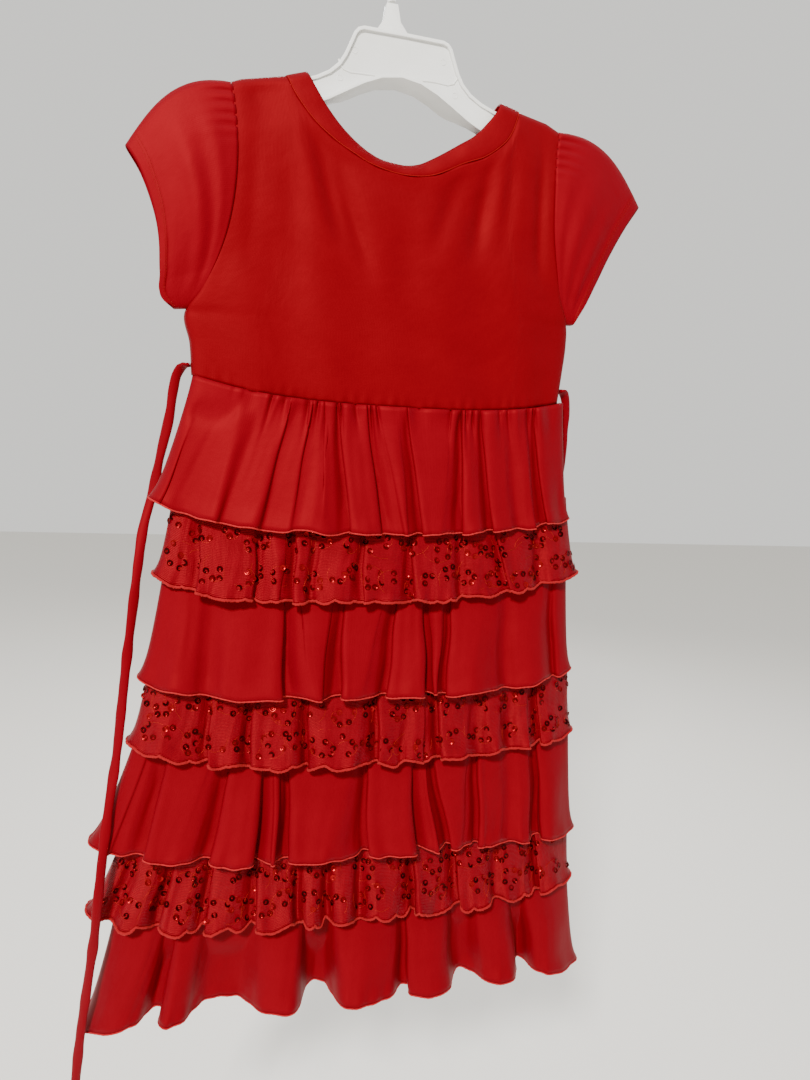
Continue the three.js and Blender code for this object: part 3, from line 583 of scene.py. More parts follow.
# %% From folds to a profile
TUCK = 2.4  # how far a leaning face rolls over its valley
WIDE_WAVE = 12  # a fold wider than this stays round
STEEP = ((-3.4, -0.04), (-2.4, 0.10), (-1.5, 0.30), (-0.75, 0.64), (0, 0.96), (0.55, 0.86), (0.9, 0.05), (1.5, -0.10))
SOFT = ((-1.9, 0.0), (-1.2, 0.2), (-0.6, 0.66), (0, 0.9), (0.6, 0.66), (1.2, 0.2), (1.9, 0.0))
FLAT_WAVE = (
    (-1.2, -0.02), (-0.95, 0.14), (-0.72, 0.48), (-0.42, 0.86), (0, 1),
    (0.42, 0.86), (0.72, 0.48), (0.95, 0.14), (1.2, -0.02),
)
DEEP_WAVE = (
    (-1.45, -0.01), (-1.0, 0.13), (-0.62, 0.46), (-0.28, 0.86), (0, 0.98),
    (0.28, 0.86), (0.62, 0.46), (1.0, 0.13), (1.45, -0.01),
)
FACE_SWELL = 0.06  # how much a face between two folds bulges, as a share of its width


def fold_stations(fold, room_before, room_after):
    """One fold: it slopes in gently from one face and ends steeply under the other, which rolls over it."""
    x, top, wide, deep, lean = fold
    rows = []
    if lean and wide < WIDE_WAVE:
        way = math.copysign(1, lean)
        for place, share in STEEP if way > 0 else reversed(STEEP):
            over = TUCK * way * (-1 if share < 0.5 else 0.5) if place > 0.2 else 0
            room = (room_before if way > 0 else room_after) if place < 0 else 99
            reach = max(place * wide, -room) if place < 0 else place * wide
            rows.append((x + way * reach + over, top + way * reach / 2, deep * share))
        return rows
    for place, share in FLAT_WAVE if wide > 18 else DEEP_WAVE if deep > 20 else SOFT:
        rows.append((x + place * wide + lean * (1 - min(1, abs(place))), top + place * wide * 0.8, deep * share))
    return rows


def face_between(before, after, roundness):
    """Stations that round out the cloth between two folds."""
    width = after[0] - before[0]
    swell = min(3.6, FACE_SWELL * width) * roundness
    return [(lerp(before[0], after[0], u), lerp(before[1], after[1], u), -swell * math.sin(math.pi * u) ** 0.8)
            for u in (0.25, 0.5, 0.75)] if width > 9 else []


def strip_profile(tier, facing):
    """Hem place, seam place and fold depth along a strip, by its length measured along the hem."""
    left, right = tier["left"], tier["right"]
    seam_left = skirt_at(tier["seam"]["left"])[0]
    seam_right = skirt_at(tier["seam"]["right"])[1]
    rows = [(-left + SIDE_ROUND * e * e, -seam_left + SIDE_ROUND * e * e, 0) for e in (0, 0.2, 0.45, 0.72)]
    folds = tier["folds"] if facing < 0 else back_folds(tier)
    for number, fold in enumerate(folds):
        before = fold[0] - rows[-1][0]
        after = (folds[number + 1][0] - 1.6 * folds[number + 1][2] if number + 1 < len(folds) else right - 15) - fold[0]
        stations = fold_stations(fold, max(4, 0.8 * before), max(4, 0.8 * after))
        stations = [r for r in stations if r[0] > rows[-1][0] - 2.5 and r[0] < right - SIDE_ROUND]
        rows += face_between(rows[-1], stations[0], tier.get("round", 1)) + stations
    rows += [(right - SIDE_ROUND * e * e, seam_right - SIDE_ROUND * e * e, 0) for e in (0.72, 0.45, 0.2, 0)]
    x, top, deep = (np.array(c, float) for c in zip(*rows))
    drop = (tier["flare"] + 10) * bow(np.clip(x / np.where(x < 0, left, right), -1, 1)) - deep
    length = np.concatenate([[0], np.cumsum(np.maximum(0.4, np.hypot(np.diff(x), np.diff(drop))))])
    return length, x, top, deep


# %% [markdown]
# `hang_tier` places any point of a strip. From the seam to the hem the strip flares, its folds grow,
# and the fine gathers of the seam fade out. The mesh tiers keep a little crinkle all the way and
# their hems flutter more.

# %% Hang a tier


def stand_of(wall):
    return JERSEY_WALL / 2 + 2 * LAYER_GAP + wall / 2


def wall_of(tier):
    return JERSEY_WALL if tier["cloth"] == "jersey" else MESH_WALL


def face_depth(tier, x, z):
    """Depth of the outer face of a tier at (x, z), to keep what hangs over it clear."""
    left = x < 0
    seam_z = np.where(left, tier["seam"]["left"], tier["seam"]["right"])
    hem_z = np.where(left, tier["hem"]["left"], tier["hem"]["right"])
    v = np.clip((z - seam_z) / (hem_z - seam_z), 0, 1) ** FLARE_POWER
    stand = stand_of(wall_of(tier))
    seam_reach = np.where(left, skirt_at(seam_z)[0], skirt_at(seam_z)[1]) + stand
    reach = lerp(seam_reach, np.where(left, tier["left"], tier["right"]), v)
    depth = skirt_at(z)[2] + stand + GATHER + (tier["flare"] + 2) * v
    return np.where(z < seam_z + 12, depth * bow(x / reach), 0)


def hang_tier(number, facing):
    tier = TIERS[number]
    below = TIERS[number + 1] if number + 1 < len(TIERS) else None
    length, x_row, top_row, deep_row = strip_profile(tier, facing)
    seed = 100 * number + (7 if facing > 0 else 0)
    meshy = tier["cloth"] == "mesh"
    stand = stand_of(wall_of(tier))
    seam_left = float(skirt_at(tier["seam"]["left"])[0])
    seam_right = float(skirt_at(tier["seam"]["right"])[1])
    last = number == len(TIERS) - 1
    back_drop = 9 if last and facing > 0 else 0  # the last tier hangs a little longer behind

    def hang(s, t):
        s, t = np.asarray(s, float), np.asarray(t, float)
        along = np.clip(s, 0, 1) * length[-1]
        hem_x = through(length, x_row, along)
        seam_x = through(length, top_row, along)
        deep = through(length, deep_row, along)
        ease = np.clip(t, 0, 1.05) ** FLARE_POWER
        at_seam = np.clip(seam_x / np.where(seam_x < 0, seam_left, seam_right), -1, 1)
        at_hem = np.clip(hem_x / np.where(hem_x < 0, tier["left"], tier["right"]), -1, 1)
        across = lerp(at_seam, at_hem, t)
        edge = smoothstep(1.0, 0.93, np.abs(across))
        flutter = ripple(along, 34 if meshy else 55, seed + 1) * (1.5 if meshy else 1.1)
        lobes = np.abs(np.sin(np.pi * along / 27 + 1.3 * ripple(along, 90, seed + 9))) ** 0.7
        scallop = (1.6 - 3.4 * lobes * tier.get("lobes", 0.7)) if meshy else 0.3 * ripple(along, 22, seed + 2)
        seam_z = height_across(tier["seam"], at_seam) - (0.4 if number == 0 else 0)
        arch = (0.16 if last else 0.06) * deep - back_drop
        hem_z = height_across(tier["hem"], at_hem) + (flutter * 0.9 + scallop + arch) * edge
        z = lerp(seam_z, hem_z, t)
        hem_reach = np.where(across < 0, tier["left"], tier["right"]) - FLICK
        reach = lerp(np.where(across < 0, seam_left, seam_right) + stand, hem_reach, ease)
        wander = ripple(t * 90 + along * 0.25, 75, seed + 10) * 0.7 * smoothstep(0.1, 0.5, t) * edge
        x = across * reach + wander
        depth = (skirt_at(z)[2] + stand + GATHER + tier["flare"] * ease) * bow(across)
        fold = deep * np.clip(t, 0, 1.05) ** FOLD_POWER
        pucker = np.abs(np.sin(np.pi * along / 16 + 1.2 * ripple(along, 70, seed + 3)))
        reach_down = 15 + 6 * ripple(along, 25, seed + 8)
        below_seam = t * (seam_z - hem_z)
        fade = np.exp(-np.abs(below_seam / np.maximum(reach_down, 6)) ** 1.5)
        gather = -(7.0 if number == 0 else 1.2) * (pucker**0.7 - 0.45) * fade * edge
        if number == 0 and facing < 0:
            gather = gather * smoothstep(-132, -112, seam_x)
        swell = ripple(along, 62, seed + 4) * 1.3 * smoothstep(0.15, 0.9, t) * edge
        crinkle = ripple(along + 14 * t, 11, seed + 5) * (0.18 if meshy else 0.08) * smoothstep(0.1, 0.6, t) * edge
        curl = (1.4 if meshy else 1.0) * smoothstep(0.84, 1.0, t) * (1 + 0.7 * ripple(along, 24, seed + 6)) * edge
        wave = swell + crinkle + curl + flutter * 0.7 * smoothstep(0.5, 1, t) * edge
        wanted = depth - fold - gather + wave
        if "swag" in tier and facing < 0:
            from_x, from_z, radius, wide, trough = tier["swag"]
            off = (np.hypot(x - from_x, z - from_z) - radius) / wide
            wanted = wanted - trough * np.exp(-off * off) * edge
        body = skirt_at(z)
        least = body[2] * bow(x / np.where(x < 0, body[0], body[1])) + stand - 0.2
        if last:
            least = lerp(least, 8.0 * bow(across), smoothstep(-850, -880, z))
        if below is not None:
            least = np.maximum(least, face_depth(below, x, z) + 1.6)
        least = np.minimum(least, depth)
        bottom = np.where(wanted < least, least + 0.15 * (wanted - least), wanted)
        depth_here = np.where(np.abs(across) > 0.995, np.minimum(depth, bottom), bottom)
        corner = np.exp(-(((1 - np.abs(across)) * reach) / 9) ** 2) * np.clip(t, 0, 1) ** 9
        x = x + np.sign(across) * (FLICK + 0.6) * corner
        z = z + (1 if last else 2.5) * corner
        depth_here = np.where(np.abs(across) >= 0.99999, 0, np.maximum(depth_here, 0))
        return x, facing * depth_here, z

    return hang, length[-1]


tier_hangs = {}
for number, tier in enumerate(TIERS):
    for where, facing in SIDES:
        name = f"{tier['name']}_{where}"
        hang, strip_length = hang_tier(number, facing)
        columns = int(strip_length / 1.7)
        rows = int(abs(tier["hem"]["middle"] - tier["seam"]["middle"]) / 4.0)
        cut = (strip_length * MM, tier["cut"][1])
        strip = hang_panel(name, hang, columns, rows, cut, facing)
        is_plain = tier["cloth"] == "jersey"
        finish_piece(strip, tier_jersey if is_plain else mesh.material, [name])
        tier_hangs[name] = (hang, facing, strip_length, strip)

# %% [markdown]
# ## Rolled and overlocked hems
#
# The plain tiers end in a narrow rolled hem of lighter thread, about a millimetre and a half thick.
# The mesh tiers are overlocked with a fuzzy thread, twice as thick and uneven. Both are tubes that
# follow the panel's own lowest row, so they ride in and out of every fold.

# %% Hems
HEM = {"jersey": (0.75, hem_thread), "mesh": (1.05, merrow_thread)}


def hem_of(name, hang, facing, length, plain):
    radius, yarn = HEM["jersey" if plain else "mesh"]
    count = int(length / (1.25 if plain else 0.85))
    s = np.linspace(0, 1, count)
    path = np.stack(hang(s, np.ones_like(s)), axis=1)
    rng = np.random.default_rng(len(name) * 31 + int(length))
    if plain:
        radii = 1 + 0.12 * np.sin(np.arange(count) * 2.1) + rng.normal(0, 0.05, count)
    else:
        radii = 1 + 0.22 * (np.arange(count) % 2) + rng.normal(0, 0.10, count)
        path[:, 2] += rng.normal(0, 0.18, count)
    hem = tubes(name, [path], radius, sides=1 if plain else 2, radii=[radii])
    return finish_piece(hem, yarn)


for name, (hang, facing, length, strip) in tier_hangs.items():
    plain = int(name[5]) % 2 == 1
    hem_of(f"hem_{name}", hang, facing, length, plain)
    length * MM
    "foundation_" + name[7:]

# %% [markdown]
# ## Sequins
#
# Ring sequins about four and a half millimetres across are sewn in loose scrolls: short arcs that
# start at one point and open out, with a few strays between. One ring is modelled, and copies of it
# are laid on the mesh with a little tilt each, then kept as one piece for a tier's side.

# %% One sequin
SEQUIN = {"radius": 2.55, "hole": 0.8, "cup": 0.45, "sides": 12}


def one_sequin():
    ring = bmesh.new()
    bmesh.ops.create_circle(ring, cap_ends=False, segments=SEQUIN["sides"], radius=SEQUIN["radius"] * MM)
    rim = list(ring.edges)
    for radius, lift in ((2.0, 0.0), (1.5, -SEQUIN["cup"]), (SEQUIN["hole"], -SEQUIN["cup"] * 0.9)):
        grown = bmesh.ops.extrude_edge_only(ring, edges=rim)["geom"]
        points = [g for g in grown if isinstance(g, bmesh.types.BMVert)]
        for v in points:
            v.co = v.co.normalized() * radius * MM
            v.co.z = lift * MM
        rim = [g for g in grown if isinstance(g, bmesh.types.BMEdge) and all(v in points for v in g.verts)]
    bmesh.ops.recalc_face_normals(ring, faces=ring.faces)
    mesh_data = bpy.data.meshes.new("one_sequin")
    ring.to_mesh(mesh_data)
    ring.free()
    return mesh_data


template = one_sequin()
template_points = np.array([v.co for v in template.vertices])
print("one sequin:", len(template.polygons), "faces")


# %% [markdown]
# The scrolls are laid out on the flat cut and then carried to the hanging cloth, so they dive into
# the gathers as sewn ones do. Orange lurex thread runs between them in short curls.

# %% Lay out the scrolls
SCROLL = {"pitch": 21.0, "rows": 2, "start": 3.0, "grow": 1.5, "turn": 52.0}


def scroll_layout(length, height, rng):
    """Places of the sequins and paths of the thread on a strip, in millimetres on the flat cut."""
    sequins, threads = [], []
    columns = int(length / SCROLL["pitch"])
    for row in range(SCROLL["rows"]):
        for column in range(columns):
            centre = np.array([
                (column + 0.5 + 0.5 * (row % 2)) * SCROLL["pitch"] + rng.uniform(-5, 5),
                height * (0.40 + 0.36 * row) + rng.uniform(-6, 6),
            ])
            start, hand = rng.uniform(0, 360), rng.choice((-1, 1))
            count = rng.integers(4, 8)
            spots = []
            for k in range(count):
                angle = math.radians(start + hand * SCROLL["turn"] * k)
                reach = SCROLL["start"] + SCROLL["grow"] * k
                spots.append(centre + reach * np.array([math.cos(angle), math.sin(angle)]))
            sequins += spots
            bends = [math.radians(start + hand * (SCROLL["turn"] * k + 20)) for k in np.linspace(0, count, 14)]
            wider = [SCROLL["start"] + 2.2 + SCROLL["grow"] * k for k in np.linspace(0, count, 14)]
            threads.append([centre + w * np.array([math.cos(a), math.sin(a)]) for w, a in zip(wider, bends)])
        for _ in range(columns // 2):
            sequins.append(np.array([rng.uniform(4, length - 4), rng.uniform(0.25, 0.9) * height]))
    apart = []
    for spot in sequins:
        inside = 3 < spot[0] < length - 3 and 0.16 * height < spot[1] < height - 4.5
        if inside and all(np.hypot(*(spot - other)) > 2 * SEQUIN["radius"] + 0.2 for other in apart):
            apart.append(spot)
    return np.array(apart), threads


def sew_sequins(name, hang, facing, length, height, seed):
    rng = np.random.default_rng(seed)
    spots, threads = scroll_layout(length, height, rng)
    here, out, across, down = point_and_normal(hang, spots[:, 0] / length, spots[:, 1] / height, facing)
    lift = CLOTH_WALL / 2 + 0.55
    sewn = bmesh.new()
    # a face colour layer for painted reflection, one value for each sequin
    reflection_layer = sewn.loops.layers.float_color.new("reflection_tone")
    for k in range(len(spots)):
        normal = Vector(out[k]) + Vector(rng.normal(0, 0.16, 3))
        spin = Matrix.Rotation(rng.uniform(0, 2 * math.pi), 4, "Z")
        lean = normal.normalized().to_track_quat("Z", "Y").to_matrix().to_4x4()
        place = Matrix.Translation(Vector(here[k] + out[k] * lift) * MM) @ lean @ spin
        before = len(sewn.faces)
        sewn.from_mesh(template)
        sewn.verts.ensure_lookup_table()
        sewn.faces.ensure_lookup_table()
        bmesh.ops.transform(sewn, matrix=place, verts=sewn.verts[-len(template.vertices):])
        # painted reflection: most sequins get a low value, standing in for a mirrored dark room, and a few a high one,
        # a painted glint
        reflection_share = float(np.clip(rng.beta(0.6, 2.4), 0, 1))
        for face in sewn.faces[before:]:
            face.smooth = True
            for loop in face.loops:
                loop[reflection_layer] = (reflection_share, reflection_share, reflection_share, 1)
    mesh_data = bpy.data.meshes.new(name)
    sewn.to_mesh(mesh_data)
    sewn.free()
    sequins = finish_piece(object_of(name, mesh_data), film.material)
    paths = []
    for path in threads:
        path = np.array([p for p in path if 3 < p[0] < length - 3 and 0.15 * height < p[1] < height - 4])
        if len(path) < 4:
            continue
        at, off, _, _ = point_and_normal(hang, path[:, 0] / length, path[:, 1] / height, facing)
        paths.append(at + off * (CLOTH_WALL / 2 + 0.15))
    curls = tubes(name.replace("sequins", "lurex"), paths, 0.11, sides=0)
    finish_piece(curls, lurex_thread)
    return len(spots), len(paths)


for number in (1, 3, 5):
    tier = TIERS[number]
    height = abs(tier["hem"]["middle"] - tier["seam"]["middle"]) + 6
    for where, facing in SIDES:
        hang, _, length, _ = tier_hangs[f"{tier['name']}_{where}"]
        sewn = sew_sequins(f"sequins_{tier['name']}_{where}", hang, facing, length, height, 40 + number + facing)
        print(tier["name"], where, "sequins and curls:", sewn)

# %% [markdown]
# ## The bodice
#
# Two plain panels, from the waist seam to the neckband and over the shoulders. Each column of the
# grid runs from the waist up to the top edge, so the sides of the grid are the side seams and the
# armholes. The drag lines under the neck are soft valleys laid by a table, and the rest of the panel
# only breathes a little.

# %% Bodice tables
CENTRE = 4
BODICE_DEPTH, SHOULDER_DEPTH, SHOULDER_ROLL, ARMHOLE_RISE = 10.6, 8.1, 8, 95
SIDE_EDGE = np.array([
    # height, left, right
    (-368, -160.5, 158.5), (-340, -162.5, 161), (-316, -166.5, 162.5), (-300, -156, 161.5),
    (-280, -146.5, 152.5), (-255, -138, 145.5), (-225, -132.5, 139.5), (-190, -131, 137),
    (-160, -133.5, 136.5), (-138, -137.5, 138.5),
])
UNDERARM = {"left": -314, "right": -299}
NECK = np.array([
    # free edge x, z, then the seam below it x, z
    (-79, -126.5, -94.5, -131.5), (-71, -139, -86.5, -146), (-60.5, -153, -73, -161.5),
    (-46.5, -167.5, -58, -173), (-27, -180.5, -40, -182.5), (-10, -185.5, -20, -190.5),
    (10, -185.5, 6, -194), (25.5, -179, 29, -190.5), (47.5, -165, 52, -179), (62, -155, 71, -171),
    (74, -141.5, 86.5, -159), (80.5, -132, 94.5, -147), (83.5, -125.5, 100, -129),
])
SHOULDERS = np.array([
    (-141, -144), (-128, -138.5), (-94.5, -131), (-79, -126), (83.5, -125), (100, -128.5),
    (125, -133.5), (142, -141),
])
DRAG_LINES = [
    # from x, z to x, z, half width, depth
    (-74, -160, -43, -262, 8, 3.6), (-58, -176, -18, -285, 8, 3.0), (80, -162, 66, -262, 8, 3.2),
    (124, -146, 129, -270, 6, 3.0), (-92, -170, -78, -290, 10, 1.8), (52, -180, 30, -262, 9, 2.0),
    (98, -146, 94, -250, 7, 2.0), (-122, -160, -118, -280, 9, 1.5), (5, -210, 8, -320, 16, 1.4),
]


def shoulder_z(x):
    return np.interp(x, SHOULDERS[:, 0], SHOULDERS[:, 1])


def quarter(t):
    return np.sqrt(np.maximum(0, 1 - (1 - np.clip(t, 0, 1)) ** 2))


def bodice_depth(x, z, across):
    under = np.where(x < CENTRE, UNDERARM["left"], UNDERARM["right"])
    armhole = quarter((z - under) / ARMHOLE_RISE)
    plan = armhole + (1 - armhole) * bow(across)
    fall = shoulder_z(x) - z
    depth = lerp(SHOULDER_DEPTH, BODICE_DEPTH, np.clip(fall / 40, 0, 1))
    return depth * plan * quarter(fall / SHOULDER_ROLL)


def side_x(z, across):
    k = np.where(across < 0, through(SIDE_EDGE[:, 0], SIDE_EDGE[:, 1], z), through(SIDE_EDGE[:, 0], SIDE_EDGE[:, 2], z))
    return k


def drag_depth(x, z):
    deep = np.zeros_like(x)
    for from_x, from_z, to_x, to_z, wide, depth in DRAG_LINES:
        t = (from_z - z) / (from_z - to_z)
        off = (x - lerp(from_x, to_x, np.clip(t, 0, 1))) / wide
        deep = deep + np.where((t > 0) & (t < 1), depth * np.sin(np.pi * np.clip(t, 0, 1)) ** 1.2 * np.exp(-off * off), 0)
    return deep


# %% Hang the bodice
BAND_OVERLAP = 0.4  # the panel's edge reaches this close under the band's seam


def top_edge():
    seam = NECK[:, 2:].copy()
    seam[:, 1] -= BAND_OVERLAP
    left = [(x, shoulder_z(x)) for x in (-137.2, -128, -115, -104)]
    right = [(x, shoulder_z(x)) for x in (108, 119, 129, 138.4)]
    edge = np.array(left + [tuple(p) for p in seam] + right)
    length = np.concatenate([[0], np.cumsum(np.hypot(*np.diff(edge, axis=0).T))])
    return length, edge


EDGE_LENGTH, TOP_EDGE = top_edge()


def hang_bodice(facing):
    seed = 900 + facing

    def hang(s, t):
        s, t = np.asarray(s, float), np.asarray(t, float)
        along = np.clip(s, 0, 1) * EDGE_LENGTH[-1]
        top_x = np.interp(along, EDGE_LENGTH, TOP_EDGE[:, 0])
        top_z = np.interp(along, EDGE_LENGTH, TOP_EDGE[:, 1])
        on_shoulder = (top_x <= NECK[0, 2]) | (top_x >= NECK[-1, 2])
        top_z = np.where(on_shoulder, shoulder_z(top_x), top_z)  # front and back meet on this line
        half = np.abs(side_x(top_z, top_x - CENTRE) - CENTRE)
        across = np.clip((top_x - CENTRE) / half, -1, 1)
        low = height_across(WAIST, across) - 0.8
        z = lerp(top_z, low, t)
        x = CENTRE + np.abs(across) * (side_x(z, across) - CENTRE)
        drag = drag_depth(x if facing < 0 else 8 - x, z)
        calm = smoothstep(1.0, 0.86, np.abs(across)) * smoothstep(0, 14, top_z - z)
        breath = ripple(x + 0.15 * z, 58, seed) * 0.7 + ripple(z + 0.4 * x, 90, seed + 1) * 0.6
        pucker = ripple(x, 9, seed + 2) * 0.35 * smoothstep(14, 0, z - low)
        depth = bodice_depth(x, z, across) - drag * calm + (breath + pucker) * calm
        gap = np.where((np.abs(across) >= 0.9999) & (depth < 1.2), 0, depth)
        return x, facing * np.maximum(gap, 0), z

    return hang


for where, facing in SIDES:
    bodice = hang_panel(f"bodice_{where}", hang_bodice(facing), 190, 84, (0.33, 0.25), facing)
    finish_piece(bodice, bodice_jersey, [f"bodice_{where}"])

# %% [markdown]
# ## The neckband
#
# A folded strip sewn round the neck. It stands slightly proud of the bodice, rolls back where it
# hangs slack at the centre, and carries one row of stitches just above its seam.

# %% Neckband
BAND_COUNT = len(NECK) - 1
NECK_SLACK = 4


def hang_band(facing):
    def hang(s, t):
        s, t = np.asarray(s, float), np.asarray(t, float)
        place = np.clip(s, 0, 1) * BAND_COUNT
        rows = np.arange(BAND_COUNT + 1)
        inner_x, inner_z, seam_x, seam_z = (through(rows, NECK[:, k], place) for k in range(4))
        up_share = 1 - t
        x = lerp(seam_x, inner_x, up_share)
        z = lerp(seam_z, inner_z, up_share)
        slack = NECK_SLACK * up_share**2 * np.sin(np.pi * np.clip(s, 0, 1)) ** 2 if facing < 0 else 0
        plump = 0.55 * np.sin(np.pi * np.clip(t * 0.96 + 0.04, 0, 1)) ** 0.5
        wrinkle = ripple(place * 14, 17, 500 + facing) * 0.3 * np.sin(np.pi * np.clip(s, 0, 1))
        depth = bodice_depth(x, z, 0) - slack + plump + wrinkle
        ends = (s <= 0.0001) | (s >= 0.9999)
        return x, facing * np.where(ends, 0, np.maximum(depth, 0)), z

    return hang


def stitches(name, hang, facing, s_range, rows, pitch, dash, lift, radius, zigzag=0.0):
    """Short raised dashes along rows of a panel. Each row is a share t of the way down."""
    paths = []
    for row in rows:
        s = np.linspace(*s_range, 600)
        line = np.stack(hang(s, np.full_like(s, row)), axis=1)
        run = np.concatenate([[0], np.cumsum(np.linalg.norm(np.diff(line, axis=0), axis=1))])
        starts = np.arange(pitch, run[-1] - pitch, pitch)
        for number, start in enumerate(starts):
            ends = np.interp([start, start + dash / 2, start + dash], run, s)
            side = zigzag * (1 if number % 2 else -1) * np.array([-1, 0, 1])
            at, out, _, _ = point_and_normal(hang, ends, row + side, facing)
            paths.append(at + out * lift)
    made = tubes(name, paths, radius, sides=0)
    return finish_piece(made, stitch_thread), len(paths)


for where, facing in SIDES:
    hang = hang_band(facing)
    band = hang_panel(f"neckband_{where}", hang, 170, 12, (0.26, 0.03), facing, thick=1.5)
    finish_piece(band, bodice_jersey, [f"neckband_{where}"])
    s = np.linspace(0.01, 0.99, 260)
    at, out, _, _ = point_and_normal(hang, s, np.full_like(s, 0.985), facing)
    seam = tubes(f"neck_seam_{where}", [at + out * 0.7], 0.42, sides=1)
    finish_piece(seam, stitch_thread)

# %% [markdown]
# ## The sleeves
#
# A short puffed sleeve is a tube from the armhole to the cuff. Its head is gathered into the top of
# the armhole in small pleats that open out into soft folds, and the cuff is turned up and sewn with
# two rows of stitches.

# %% Sleeve tables
CUFFS = {
    "left": np.array([
        (0, -212, -199), (0.15, -202, -214), (0.35, -191.5, -241), (0.55, -187, -265),
        (0.75, -186, -289), (0.92, -184, -307), (1, -175, -314.5),
    ]),
    "right": np.array([
        (0, 221, -191), (0.15, 208, -210), (0.35, 194, -236), (0.55, 183.5, -260),
        (0.75, 174.5, -281), (0.92, 168.5, -293), (1, 166.5, -298),
    ]),
}
SLEEVE = {"puff": 15, "fullness": 5, "cuff_half": 8.5, "pleats": 5}


def hang_sleeve(side):
    sign = -1 if side == "left" else 1
    top_x = sign * (138.6 if sign < 0 else 139.9)
    cuff = CUFFS[side]

    def hang(s, t):
        turn = np.mod(np.asarray(s, float), 1.0) * 2
        t = np.asarray(t, float)
        face = np.where(turn <= 1, -1, 1)
        step = np.where(turn <= 1, turn, 2 - turn)
        down = step * step * (3 - 2 * step)
        head_z = lerp(shoulder_z(top_x) - 0.5, UNDERARM[side] + 0.5, down)
        head_x = side_x(head_z, np.full_like(head_z, sign)) - sign * 1.2
        cuff_x = through(cuff[:, 0], cuff[:, 1], down)
        cuff_z = through(cuff[:, 0], cuff[:, 2], down)
        rounding = np.sqrt(np.clip(4 * step * (1 - step), 0, 1))
        head_half = bodice_depth(head_x, head_z, 1) + 1.0 * rounding
        cuff_half = SLEEVE["cuff_half"] * rounding ** 0.9
        swell = np.sin(np.pi * np.clip(t, 0, 1) ** 0.85)
        top = (1 - down) ** 1.6
        x = lerp(head_x, cuff_x, t) + sign * 0.55 * SLEEVE["puff"] * swell * top
        z = lerp(head_z, cuff_z, t) + 0.84 * SLEEVE["puff"] * swell * top
        pleat = 1 - np.abs(np.sin(np.pi * SLEEVE["pleats"] * np.clip(down / 0.24, 0, 1))) ** 0.7
        near_head = np.exp(-(((t - 0.05) / 0.13) ** 2)) * smoothstep(0.27, 0.20, down)
        drape = np.sin(np.pi * np.clip(down * 1.15 - 0.08, 0, 1)) * smoothstep(0.05, 0.2, t) * smoothstep(0.86, 0.7, t)
        folds = ripple(t * 80 + 26 * down, 30, 60 + sign, 3) * 1.0 * drape
        hem_step = 0.7 * smoothstep(0.852, 0.866, t) - 0.6 * np.exp(-(((t - 0.86) / 0.01) ** 2))
        belly = SLEEVE["fullness"] * swell * np.sin(np.pi * np.minimum(1, down * 1.1 + 0.1))
        half = lerp(head_half, cuff_half, t) + rounding * (belly + folds + hem_step) - pleat * near_head * 1.7
        return x, face * np.maximum(half, 0), z

    return hang


for side in ("left", "right"):
    hang = hang_sleeve(side)
    facing = -1
    sleeve = hang_panel(f"sleeve_{side}", hang, 200, 44, (0.36, 0.075), -1, round_tube=True)
    # The sleeves wear the slightly lighter tier jersey, not the bodice's: painted sheen, standing in for their pinker
    # look at a glancing angle.
    finish_piece(sleeve, tier_jersey, [f"sleeve_{side}"])
    for face_name, rows_of in (("front", (0.03, 0.47)), ("back", (0.53, 0.97))):
        toward = -1 if face_name == "front" else 1
        made, count = stitches(f"cuff_stitches_{side}_{face_name}", hang, toward, rows_of, (0.88, 0.905), 2.4, 1.8, 0.5, 0.16)
        print(made.name, count)

# %% [markdown]
# ## The ties
#
# A narrow turned tube hangs from each end of the waist seam, limp and slightly twisted. Its route is
# the same list of points as the solid model's, so the two agree. A cord could be a bevelled curve,
# but a flattened tube with soft creases looks more like cloth, so a ring is swept along the route.

# %% Ties
TIE_ROUTES = {
    "left": [
        (-162.5, 0.5, -357), (-166.5, 2.5, -357.3), (-171.5, 6, -363.5), (-174.5, 8.5, -376),
        (-177, 11, -396), (-184, 15, -430), (-190, 16.5, -462), (-196.5, 11, -490), (-200, 4, -520),
        (-204, 0, -560), (-208, -1, -600), (-211.5, -2, -640), (-215, -5, -680), (-219.5, -13, -715),
        (-223.5, -23, -755), (-226.5, -27, -790), (-230, -25, -830), (-235, -22, -870), (-241, -22, -920),
        (-245, -21, -966),
    ],
    "right": [
        (160.8, 0.5, -356.5), (164.8, 2.5, -356.8), (169.5, 6, -362.5), (172.5, 9, -374), (174, 12, -395),
        (175.5, 16, -430), (175, 21, -462), (174, 24, -500), (173, 26.5, -550), (171, 30, -600),
        (169, 32, -640), (167, 34, -690), (164, 37, -740), (161, 40, -790), (158, 43, -840),
        (155, 47, -890), (152, 49, -940), (151, 49.5, -966),
    ],
}
TIE_WIDTH, TIE_THICK = 8.0, 3.6


